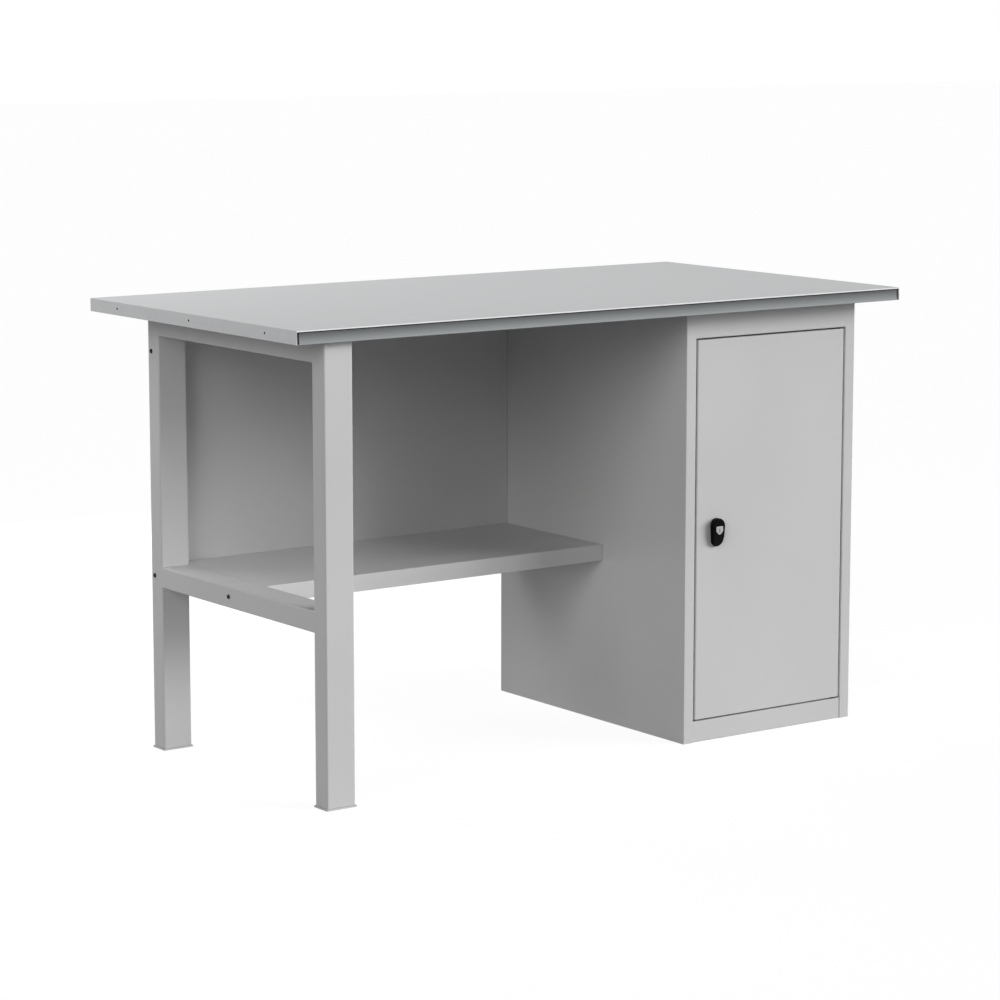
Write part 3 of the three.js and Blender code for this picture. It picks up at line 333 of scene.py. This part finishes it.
def block(low, high):
    """A bmesh box between two corners."""
    bm = bmesh.new()
    size = Vector(high) - Vector(low)
    middle = (Vector(high) + Vector(low)) / 2
    place = Matrix.Translation(middle) @ Matrix.Diagonal((*size, 1.0))
    bmesh.ops.create_cube(bm, size=1.0, matrix=place)
    return bm


def round_edges(bm, edges, radius, steps):
    """Rounds edges by a bevel of some steps."""
    bmesh.ops.bevel(bm, geom=edges, offset=radius, offset_type="OFFSET", affect="EDGES", segments=steps,
                    profile=0.5, material=-1, clamp_overlap=True)


def edges_along(bm, axis):
    """The edges that run along one axis: 0, 1 or 2 for X, Y or Z."""
    found = []
    for edge in bm.edges:
        run = edge.verts[1].co - edge.verts[0].co
        if abs(run[axis]) > SAME_WAY * run.length:
            found.append(edge)
    return found


def faces_towards(bm, direction):
    """The faces that look straight along a direction."""
    return [face for face in bm.faces if face.normal.dot(Vector(direction)) > SAME_WAY]


def creases(bm, angle):
    """The edges at which two faces turn by more than an angle, outward or inward."""
    return [e for e in bm.edges if e.is_manifold and e.calc_face_angle() > angle]


def verts_in(geometry):
    """The vertices in what a bmesh operator returns."""
    return [item for item in geometry if isinstance(item, bmesh.types.BMVert)]


def edges_in(geometry):
    """The edges in what a bmesh operator returns."""
    return [item for item in geometry if isinstance(item, bmesh.types.BMEdge)]


def thicken(bm, face, depth):
    """Pulls one face along Y into a closed slab."""
    pulled = bmesh.ops.extrude_face_region(bm, geom=[face])["geom"]
    bmesh.ops.translate(bm, verts=verts_in(pulled), vec=(0, depth, 0))
    bmesh.ops.recalc_face_normals(bm, faces=bm.faces)


def merged_copy(node):
    """A node's mesh as one closed skin of flat faces."""
    bm = bmesh.new()
    bm.from_mesh(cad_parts[node].data)
    bmesh.ops.remove_doubles(bm, verts=bm.verts, dist=SAME_PLACE)
    bmesh.ops.dissolve_limit(bm, angle_limit=FLAT_ANGLE, verts=bm.verts, edges=bm.edges)
    return bm


def face_width(face):
    """The mean width of a long face."""
    return face.calc_area() / max(edge.calc_length() for edge in face.edges)


def round_folds(bm, radius):
    """Rounds the folds of sheet metal: radius outside, and one gauge less inside."""
    folds = [e for e in creases(bm, FOLD_ANGLE)
             if min(face_width(f) for f in e.link_faces) > WIDE_FACE]
    outer = [e for e in folds if e.calc_face_angle_signed() > 0]
    inner = [e for e in folds if e.calc_face_angle_signed() < 0]
    round_edges(bm, outer, radius, FOLD_STEPS)
    inner_radius = max(radius - SHEET_GAUGE, LEAST_FOLD_RADIUS)
    round_edges(bm, [e for e in inner if e.is_valid], inner_radius, FOLD_STEPS)


def round_rims(bm, radius):
    """Takes the sharpness off every outside edge of a machined or moulded piece."""
    rims = [e for e in bm.edges if e.is_manifold and e.calc_face_angle_signed() > RIM_ANGLE]
    round_edges(bm, rims, radius, EDGE_STEPS)


def add_piece(name, bm, body, material, slot, *nodes):
    """Makes a finished bmesh a piece that rides a body and stands for CAD nodes."""
    for face in bm.faces:
        face.smooth = True
    for edge in bm.edges:
        if edge.is_manifold and edge.calc_face_angle() > SHARP_ANGLE:
            edge.smooth = False
    mesh = bpy.data.meshes.new(name)
    bm.to_mesh(mesh)
    bm.free()
    mesh.materials.append(material)
    piece = bpy.data.objects.new(name, mesh)
    bpy.context.scene.collection.objects.link(piece)
    shading = piece.modifiers.new("even_shading", "WEIGHTED_NORMAL")
    shading.keep_sharp = True
    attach(piece, body)
    if nodes:
        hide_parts(*nodes)
    return piece


# Worktop

def worktop_cladding():
    """Top sheet with its two end skirts and a short lip turned down along the front and the rear."""
    screw_room = Vector((EDGE_SCREW_PROUD, 0, 0))
    bm = block(worktop_low + screw_room, worktop_high - screw_room)
    open_sides = [(0, 0, -1), (0, -1, 0), (0, 1, 0)]
    gone = [face for side in open_sides for face in faces_towards(bm, side)]
    bmesh.ops.delete(bm, geom=gone, context="FACES")
    long_edges = [e for e in edges_along(bm, 0) if e.is_boundary]
    lips = bmesh.ops.extrude_edge_only(bm, edges=long_edges)["geom"]
    bmesh.ops.translate(bm, verts=verts_in(lips), vec=(0, 0, -LIP_DROP))
    bmesh.ops.recalc_face_normals(bm, faces=bm.faces)
    round_edges(bm, creases(bm, FOLD_ANGLE), CLADDING_FOLD, FOLD_STEPS)
    bmesh.ops.solidify(bm, geom=bm.faces[:], thickness=CLADDING_GAUGE)
    add_piece("worktop_cladding", bm, BENCH, ZINC_SHEET, "galvanised_steel", "worktop_sheet")


def worktop_edging(name, side):
    """A shallow hollow strip, a dark gap below the lip; side is -1 for the front and 1 for the rear."""
    face_y = side * worktop_high.y
    left_x = worktop_low.x + EDGING_END_GAP
    top_z = worktop_high.z - LIP_DROP - EDGING_TOP_GAP
    start = Vector((left_x, face_y - side * EDGING_START, top_z))
    finish = Vector((left_x, face_y - side * EDGING_FINISH, worktop_low.z))
    chord = finish - start
    radius = chord.length ** 2 / (8 * EDGING_HOLLOW) + EDGING_HOLLOW / 2
    outward = chord.cross(Vector((-side, 0, 0))).normalized()
    centre = (start + finish) / 2 + outward * (radius - EDGING_HOLLOW)
    sweep = 2 * math.asin(chord.length / (2 * radius))
    bm = bmesh.new()
    first = bm.verts.new(start)
    spun = bmesh.ops.spin(bm, geom=[first], cent=centre, axis=(1, 0, 0), angle=side * sweep,
                          steps=EDGING_STEPS, use_merge=False)
    turned = bmesh.ops.extrude_vert_indiv(bm, verts=verts_in(spun["geom_last"]))["verts"]
    bmesh.ops.translate(bm, verts=turned, vec=(0, -side * EDGING_RETURN, 0))
    strip = bmesh.ops.extrude_edge_only(bm, edges=bm.edges[:])["geom"]
    length = worktop_high.x - worktop_low.x - 2 * EDGING_END_GAP
    bmesh.ops.translate(bm, verts=verts_in(strip), vec=(length, 0, 0))
    bmesh.ops.recalc_face_normals(bm, faces=bm.faces)
    round_edges(bm, creases(bm, BEND_ANGLE), EDGING_FOLD, FOLD_STEPS)
    if sum(face.normal.y for face in bm.faces) * side < 0:
        bmesh.ops.reverse_faces(bm, faces=bm.faces)
    bmesh.ops.solidify(bm, geom=bm.faces[:], thickness=CLADDING_GAUGE)
    add_piece(name, bm, BENCH, ZINC_EDGING, "galvanised_steel")


def worktop_core():
    """The board inside the cladding, and the grey paper on its underside that keeps it flat."""
    low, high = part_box("worktop_board")
    setback = Vector((BOARD_END_SETBACK, BOARD_FRONT_SETBACK, 0))
    low += setback
    high -= setback
    paper_top = low.z + BACKING_THICKNESS
    bm = block((low.x, low.y, paper_top), high)
    round_edges(bm, bm.edges[:], BOARD_EDGE, EDGE_STEPS)
    add_piece("worktop_core", bm, BENCH, CHIPBOARD, "chipboard", "worktop_board")
    bm = block(low, (high.x, high.y, paper_top))
    round_edges(bm, edges_along(bm, 2), BOARD_EDGE, EDGE_STEPS)
    add_piece("worktop_backing_paper", bm, BENCH, BACKING_PAPER, "chipboard")


def edge_screw(name, side, y):
    """A small pan-head screw in an end skirt; side is -1 for the left and 1 for the right."""
    bm = bmesh.new()
    turn = Matrix.Rotation(side * QUARTER_TURN, 4, "Y")
    face_x = side * (worktop_high.x - EDGE_SCREW_PROUD / 2)
    middle_z = (worktop_low.z + worktop_high.z) / 2
    place = Matrix.Translation((face_x, y, middle_z)) @ turn
    bmesh.ops.create_cone(bm, cap_ends=True, segments=EDGE_SCREW_SIDES, radius1=EDGE_SCREW_RADIUS,
                          radius2=EDGE_SCREW_CROWN * EDGE_SCREW_RADIUS, depth=EDGE_SCREW_PROUD,
                          matrix=place)
    crown = faces_towards(bm, (side, 0, 0))
    bmesh.ops.inset_region(bm, faces=crown, depth=0,
                           thickness=EDGE_SCREW_SOCKET_INSET * EDGE_SCREW_RADIUS)
    bmesh.ops.translate(bm, verts=crown[0].verts[:], vec=(-side * EDGE_SCREW_SOCKET_DEPTH, 0, 0))
    add_piece(name, bm, BENCH, BLACK_STEEL, "black_steel")


# Leg frame

def tube(node, axis, weld=0.0):
    """Rectangular tube with drawn corners; weld is how far its ends run on into the legs' corners."""
    low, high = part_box(node)
    low[axis] -= weld
    high[axis] += weld
    bm = block(low, high)
    round_edges(bm, edges_along(bm, axis), TUBE_CORNER, TUBE_CORNER_STEPS)
    add_piece(f"{node}_tube", bm, BENCH, PAINT, "grey_paint", node)


def foot(node):
    """A foot plate with corners like the tube's and eased edges."""
    bm = block(*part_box(node))
    round_edges(bm, edges_along(bm, 2), TUBE_CORNER, TUBE_CORNER_STEPS)
    round_edges(bm, creases(bm, FOLD_ANGLE), FOOT_EDGE, EDGE_STEPS)
    add_piece(f"{node}_pad", bm, BENCH, PAINT, "grey_paint", node)


# Sheet metal and hardware carried over from the frame, with their edges rounded

def sheet_metal(node, body=BENCH, radius=FOLD_RADIUS, weld=0.0):
    """Folded sheet; weld is how far its two ends run on into the posts' folds, ground flush."""
    bm = merged_copy(node)
    low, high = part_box(node)
    middle = (low.x + high.x) / 2
    for vert in bm.verts:
        if min(vert.co.x - low.x, high.x - vert.co.x) < SAME_PLACE:
            vert.co.x += math.copysign(weld, vert.co.x - middle)
    round_folds(bm, radius)
    bmesh.ops.remove_doubles(bm, verts=bm.verts, dist=SAME_PLACE)
    add_piece(f"{node}_sheet", bm, body, PAINT, "grey_paint", node)


def hardware(node, body, material, slot):
    """A small part with its outside edges eased."""
    bm = merged_copy(node)
    round_rims(bm, HARDWARE_EDGE)
    add_piece(f"{node}_part", bm, body, material, slot, node)


def button_bolt(node, head_side):
    """A button-head bolt along X with a socket in its head; head_side is the head's way along X."""
    low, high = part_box(node)
    middle = (low + high) / 2
    head_radius = (high.y - low.y) / 2
    head_end = high.x if head_side > 0 else low.x
    tip = low.x if head_side > 0 else high.x
    bm = bmesh.new()
    turn = Matrix.Rotation(head_side * QUARTER_TURN, 4, "Y")
    head_middle = (head_end - head_side * BOLT_HEAD_HEIGHT / 2, middle.y, middle.z)
    bmesh.ops.create_cone(bm, cap_ends=True, segments=BOLT_SIDES, radius1=head_radius,
                          radius2=BOLT_CROWN_SHARE * head_radius, depth=BOLT_HEAD_HEIGHT,
                          matrix=Matrix.Translation(head_middle) @ turn)
    crown = faces_towards(bm, (head_side, 0, 0))
    round_edges(bm, [e for face in crown for e in face.edges], BOLT_CROWN_EDGE, BOLT_CROWN_STEPS)
    crown = faces_towards(bm, (head_side, 0, 0))
    bmesh.ops.inset_region(bm, faces=crown, thickness=BOLT_SOCKET_INSET * head_radius, depth=0)
    socket = bmesh.ops.extrude_face_region(bm, geom=crown)["geom"]
    bmesh.ops.delete(bm, geom=crown, context="FACES_ONLY")
    bmesh.ops.translate(bm, verts=verts_in(socket), vec=(-head_side * BOLT_SOCKET_DEPTH, 0, 0))
    shank_start = head_end - head_side * BOLT_HEAD_HEIGHT
    shank_middle = ((shank_start + tip) / 2, middle.y, middle.z)
    bmesh.ops.create_cone(bm, cap_ends=True, segments=BOLT_SIDES, radius1=BOLT_SHANK_RADIUS,
                          radius2=BOLT_SHANK_RADIUS, depth=abs(shank_start - tip),
                          matrix=Matrix.Translation(shank_middle) @ turn)
    add_piece(f"{node}_screw", bm, BENCH, BLACK_STEEL, "black_steel", node)


# Lock

def drop_outline(bm, y):
    """The knob's drop outline as one face: a wide arc over a narrow arc."""
    low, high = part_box("handle_knob")
    spindle_x = (low.x + high.x) / 2
    spindle_z = low.z + KNOB_TIP_DROP + KNOB_TIP_RADIUS
    lean = math.asin((KNOB_TOP_RADIUS - KNOB_TIP_RADIUS) / (KNOB_TOP_RISE + KNOB_TIP_DROP))
    arcs = [(KNOB_TOP_RISE, KNOB_TOP_RADIUS, -lean, math.pi + 2 * lean),
            (-KNOB_TIP_DROP, KNOB_TIP_RADIUS, math.pi + lean, math.pi - 2 * lean)]
    ends = []
    for lip_shade_mask, radius, begin, sweep in arcs:
        centre = Vector((spindle_x, y, spindle_z + lip_shade_mask))
        first = bm.verts.new(centre + radius * Vector((math.cos(begin), 0, math.sin(begin))))
        spun = bmesh.ops.spin(bm, geom=[first], cent=centre, axis=(0, -1, 0), angle=sweep,
                              steps=KNOB_ARC_STEPS, use_merge=False)
        ends.append((first, verts_in(spun["geom_last"])[0]))
    bm.edges.new((ends[0][1], ends[1][0]))
    bm.edges.new((ends[1][1], ends[0][0]))
    return bmesh.ops.contextual_create(bm, geom=bm.edges[:])["faces"][0]


def bore_for_plug(bm):
    """Bores a round hole for the key plug between a piece's flat front and its flat back."""
    low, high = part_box("key_plug")
    front = max(faces_towards(bm, (0, -1, 0)), key=lambda face: face.calc_area())
    back = max(faces_towards(bm, (0, 1, 0)), key=lambda face: face.calc_area())
    front_rim = front.edges[:]
    back_rim = back.edges[:]
    front_y = front.verts[0].co.y
    back_y = back.verts[0].co.y
    bmesh.ops.delete(bm, geom=[front, back], context="FACES_ONLY")
    axis = Vector(((low.x + high.x) / 2, front_y, (low.z + high.z) / 2))
    place = Matrix.Translation(axis) @ Matrix.Rotation(QUARTER_TURN, 4, "X")
    ring_verts = bmesh.ops.create_circle(bm, cap_ends=False, segments=BOLT_SIDES, matrix=place,
                                         radius=(high.x - low.x) / 2 + PLUG_PLAY)["verts"]
    ring = list({edge for vert in ring_verts for edge in vert.link_edges})
    wall = bmesh.ops.extrude_edge_only(bm, edges=ring)["geom"]
    far_verts = verts_in(wall)
    far_ring = [e for e in edges_in(wall) if all(vert in far_verts for vert in e.verts)]
    bmesh.ops.translate(bm, verts=far_verts, vec=(0, back_y - front_y, 0))
    bmesh.ops.triangle_fill(bm, edges=front_rim + ring, use_beauty=True, use_dissolve=False)
    bmesh.ops.triangle_fill(bm, edges=back_rim + far_ring, use_beauty=True, use_dissolve=False)
    bmesh.ops.recalc_face_normals(bm, faces=bm.faces)


def wing_knob():
    """A drop-shaped knob: a flat head round the key plate, and a tail that slopes back to the door."""
    low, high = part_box("handle_knob")
    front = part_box("key_shield")[0].y + SHIELD_PROUD
    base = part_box("lock_bezel")[0].y - KNOB_LIFT
    bm = bmesh.new()
    thicken(bm, drop_outline(bm, front), base - front)
    tail_top = Vector(((low.x + high.x) / 2, front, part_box("key_shield")[0].z - KNOB_TAIL_GAP))
    tail_length = tail_top.z - low.z
    everything = bm.verts[:] + bm.edges[:] + bm.faces[:]
    cut = bmesh.ops.bisect_plane(bm, geom=everything, dist=SAME_PLACE, plane_co=tail_top,
                                 plane_no=(0, -tail_length, -KNOB_TAIL_FALL), clear_outer=True)
    bmesh.ops.edgeloop_fill(bm, edges=edges_in(cut["geom_cut"]))
    bmesh.ops.recalc_face_normals(bm, faces=bm.faces)
    touched = [e for e in creases(bm, RIM_ANGLE)
               if max(v.co.y for v in e.verts) < base - HARDWARE_EDGE]
    round_edges(bm, touched, KNOB_EDGE, KNOB_EDGE_STEPS)
    bore_for_plug(bm)
    add_piece("wing_knob", bm, HANDLE, BLACK_CASTING, "black_casting", "handle_knob")


def key_plate():
    """A small shield-shaped plate on the knob's head, with the key plug through it."""
    low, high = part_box("key_shield")
    middle = (low.x + high.x) / 2
    shoulder = (low.z + high.z) / 2 - KEY_PLATE_SHOULDER
    face_y = low.y + KEY_PLATE_SINK
    right_side = [(KEY_PLATE_TIP_HALF_WIDTH, low.z + KEY_PLATE_TIP_LIFT),
                  (KEY_PLATE_HALF_WIDTH, shoulder),
                  (KEY_PLATE_HALF_WIDTH, high.z)]
    left_side = [(-x, z) for x, z in reversed(right_side)]
    bm = bmesh.new()
    corners = [bm.verts.new((middle + x, face_y, z)) for x, z in right_side + left_side]
    thicken(bm, bm.faces.new(corners), high.y - face_y)
    round_edges(bm, edges_along(bm, 1), KEY_PLATE_CORNER, FOLD_STEPS)
    rim = [e for f in faces_towards(bm, (0, -1, 0)) for e in f.edges]
    round_edges(bm, rim, KEY_PLATE_RIM, EDGE_STEPS)
    bore_for_plug(bm)
    add_piece("key_plate", bm, HANDLE, NICKEL, "nickel_plate", "key_shield")


# Making

worktop_cladding()
worktop_edging("worktop_front_edging", -1)
worktop_edging("worktop_rear_edging", 1)
worktop_core()
for side, side_name in ((-1, "left"), (1, "right")):
    for number, spot in enumerate(EDGE_SCREW_SPOTS):
        edge_screw(f"edge_screw_{side_name}_{number + 1}", side, spot)

tube("leg_front", 2)
tube("leg_rear", 2)
tube("upper_side_beam", 1, BEAM_WELD)
tube("lower_side_beam", 1, BEAM_WELD)
foot("foot_plate_front")
foot("foot_plate_rear")

for sheet_node in ("back_panel", "bay_shelf", "bay_shelf_stiffener", "cabinet_side_left",
                   "cabinet_side_right", "cabinet_back", "cabinet_floor", "cabinet_top", "plinth_rail",
                   "cabinet_shelf_lower", "cabinet_shelf_upper",
                   "shelf_angle_lower_left", "shelf_angle_lower_right",
                   "shelf_angle_upper_left", "shelf_angle_upper_right"):
    sheet_metal(sheet_node)
sheet_metal("top_rail", weld=RAIL_WELD)
sheet_metal("door_panel", DOOR, DOOR_FOLD_RADIUS)
sheet_metal("door_stiffener", DOOR)

for bolt in ("panel_bolt_upper", "panel_bolt_lower", "shelf_bolt"):
    button_bolt(f"{bolt}_leg", -1)
    button_bolt(f"{bolt}_cabinet", 1)
    hardware(f"{bolt}_nut", BENCH, ZINC_PLATE, "zinc_plate")
for spot_name in ("frame_front", "frame_rear", "cabinet_front", "cabinet_rear"):
    hardware(f"worktop_screw_{spot_name}", BENCH, ZINC_PLATE, "zinc_plate")

for end in ("upper", "lower"):
    hardware(f"hinge_pin_{end}", BENCH, ZINC_PLATE, "zinc_plate")
    hardware(f"door_buffer_{end}", BENCH, RUBBER, "rubber")
    hardware(f"hinge_plate_{end}", DOOR, ZINC_PLATE, "zinc_plate")
    hardware(f"hinge_bush_{end}", DOOR, NYLON, "nylon")
    hardware(f"rod_guide_{end}", DOOR, NYLON, "nylon")
    hardware(f"{end}_rod", f"{end}_rod", ZINC_PLATE, "zinc_plate")

wing_knob()
hardware("lock_bezel", DOOR, BLACK_CASTING, "black_casting")
hardware("lock_nut", DOOR, ZINC_PLATE, "zinc_plate")
hardware("lock_cam", HANDLE, ZINC_PLATE, "zinc_plate")
hardware("cam_screw", HANDLE, ZINC_PLATE, "zinc_plate")
key_plate()
hardware("key_plug", KEY, NICKEL, "nickel_plate")


# Floor, light and camera

FLOOR_SIZE = 30.0
FLOOR_GREY = "#A0A0A0"
# The camera sees this share of the floor's shading and shadows, and a glow that makes it nearly white
FLOOR_SHADE = 0.4
FLOOR_GLOW = 1.525
# The surroundings' strength as fill light
AMBIENT = 0.03
# The strength at which a sun lamp shows a colour as it is written
FULL_SUN = math.pi

# Camera, solved from the photograph's vanishing points
SENSOR_WIDTH = 36.0
LENS_LENGTH = 118.47
CAMERA_PLACE = (-3.70875, -5.15679, 1.4643)
CAMERA_AZIMUTH = math.radians(35.6929)
CAMERA_PITCH = math.radians(-8.9986)
SIGHT_LIMIT = 200.0


def seen_directly(tree):
    """A node that is 1 for rays from the camera, a mirror or a clear piece, and 0 for other light."""
    path = add_node(tree, "ShaderNodeLightPath")
    seen = add_node(tree, "ShaderNodeMath", {"operation": "MAXIMUM"},
                    links={0: (path, "Is Camera Ray"), 1: (path, "Is Glossy Ray")})
    return add_node(tree, "ShaderNodeMath", {"operation": "MAXIMUM"},
                    links={0: (seen, "Value"), 1: (path, "Is Transmission Ray")})


def pale_floor():
    """A plain floor that the camera sees nearly white, with a soft part of the bench's shadow."""
    material = bpy.data.materials.new("pale_floor")
    tree = empty_tree(material)
    share = add_node(tree, "ShaderNodeMath", {"operation": "MULTIPLY"}, {1: 1 - FLOOR_SHADE},
                     {0: (seen_directly(tree), "Value")})
    skin = add_node(tree, "ShaderNodeBsdfDiffuse", values={"Color": srgb(FLOOR_GREY)})
    glow = add_node(tree, "ShaderNodeEmission", values={"Strength": FLOOR_GLOW})
    mixed = add_node(tree, "ShaderNodeMixShader",
                     links={"Fac": (share, "Value"), 1: (skin, "BSDF"), 2: (glow, "Emission")})
    add_node(tree, "ShaderNodeOutputMaterial", links={"Surface": (mixed, "Shader")})
    bm = bmesh.new()
    bmesh.ops.create_grid(bm, x_segments=1, y_segments=1, size=FLOOR_SIZE)
    mesh = bpy.data.meshes.new("floor")
    bm.to_mesh(mesh)
    bm.free()
    mesh.materials.append(material)
    floor = bpy.data.objects.new("floor", mesh)
    bpy.context.scene.collection.objects.link(floor)


def studio_world():
    """Even white surroundings: full white where they are seen or mirrored, dimmer as fill light."""
    world = bpy.data.worlds.new("studio")
    bpy.context.scene.world = world
    tree = empty_tree(world)
    strength = add_node(tree, "ShaderNodeMapRange", values={"To Min": AMBIENT, "To Max": 1.0},
                        links={"Value": (seen_directly(tree), "Value")})
    sky = add_node(tree, "ShaderNodeBackground", values={"Color": srgb("#FFFFFF")},
                   links={"Strength": (strength, "Result")})
    add_node(tree, "ShaderNodeOutputWorld", links={"Surface": (sky, "Background")})


def aim_lamp(light, towards):
    """Turns a lamp and adds it to the scene. Glossy pieces mirror the white studio and not the lamp."""
    light.rotation_mode = "QUATERNION"
    light.rotation_quaternion = towards.to_track_quat("-Z", "Y")
    light.visible_glossy = False
    bpy.context.scene.collection.objects.link(light)


def soft_sun(name, azimuth, elevation, strength, spread):
    """A broad far light, in degrees; azimuth is the side it comes from, 0 for straight in front."""
    lamp = bpy.data.lights.new(name, "SUN")
    lamp.energy = strength
    lamp.angle = math.radians(spread)
    light = bpy.data.objects.new(name, lamp)
    turn = math.radians(azimuth)
    drop = math.radians(elevation)
    level = math.cos(drop)
    aim_lamp(light, Vector((-math.sin(turn) * level, math.cos(turn) * level, -math.sin(drop))))


def softbox(name, place, size, watts):
    """A square area light aimed at the middle of the bench."""
    lamp = bpy.data.lights.new(name, "AREA")
    lamp.size = size
    lamp.energy = watts
    light = bpy.data.objects.new(name, lamp)
    light.location = place
    aim_lamp(light, (cad_low + cad_high) / 2 - Vector(place))


def photo_camera():
    """The photograph's camera, without roll or shift."""
    lens = bpy.data.cameras.new("camera")
    lens.sensor_width = SENSOR_WIDTH
    lens.lens = LENS_LENGTH
    lens.clip_end = SIGHT_LIMIT
    camera = bpy.data.objects.new("camera", lens)
    camera.location = CAMERA_PLACE
    level = math.cos(CAMERA_PITCH)
    ahead = Vector((math.sin(CAMERA_AZIMUTH) * level, math.cos(CAMERA_AZIMUTH) * level,
                    math.sin(CAMERA_PITCH)))
    camera.rotation_mode = "QUATERNION"
    camera.rotation_quaternion = ahead.to_track_quat("-Z", "Y")
    bpy.context.scene.collection.objects.link(camera)
    bpy.context.scene.camera = camera


pale_floor()
studio_world()
soft_sun("key_right", 58, 12, 0.65 * FULL_SUN, 24)
soft_sun("key_front", 40, 25, 0.43 * FULL_SUN, 24)
soft_sun("fill_left", -58, 22, 0.41 * FULL_SUN, 35)
softbox("rim_rear_left", (-0.9, 1.2, 1.7), 1.2, 15.5)
softbox("low_rear", (0.3, 2.8, 0.5), 0.6, 27)
photo_camera()
bpy.context.scene.view_settings.view_transform = "Standard"
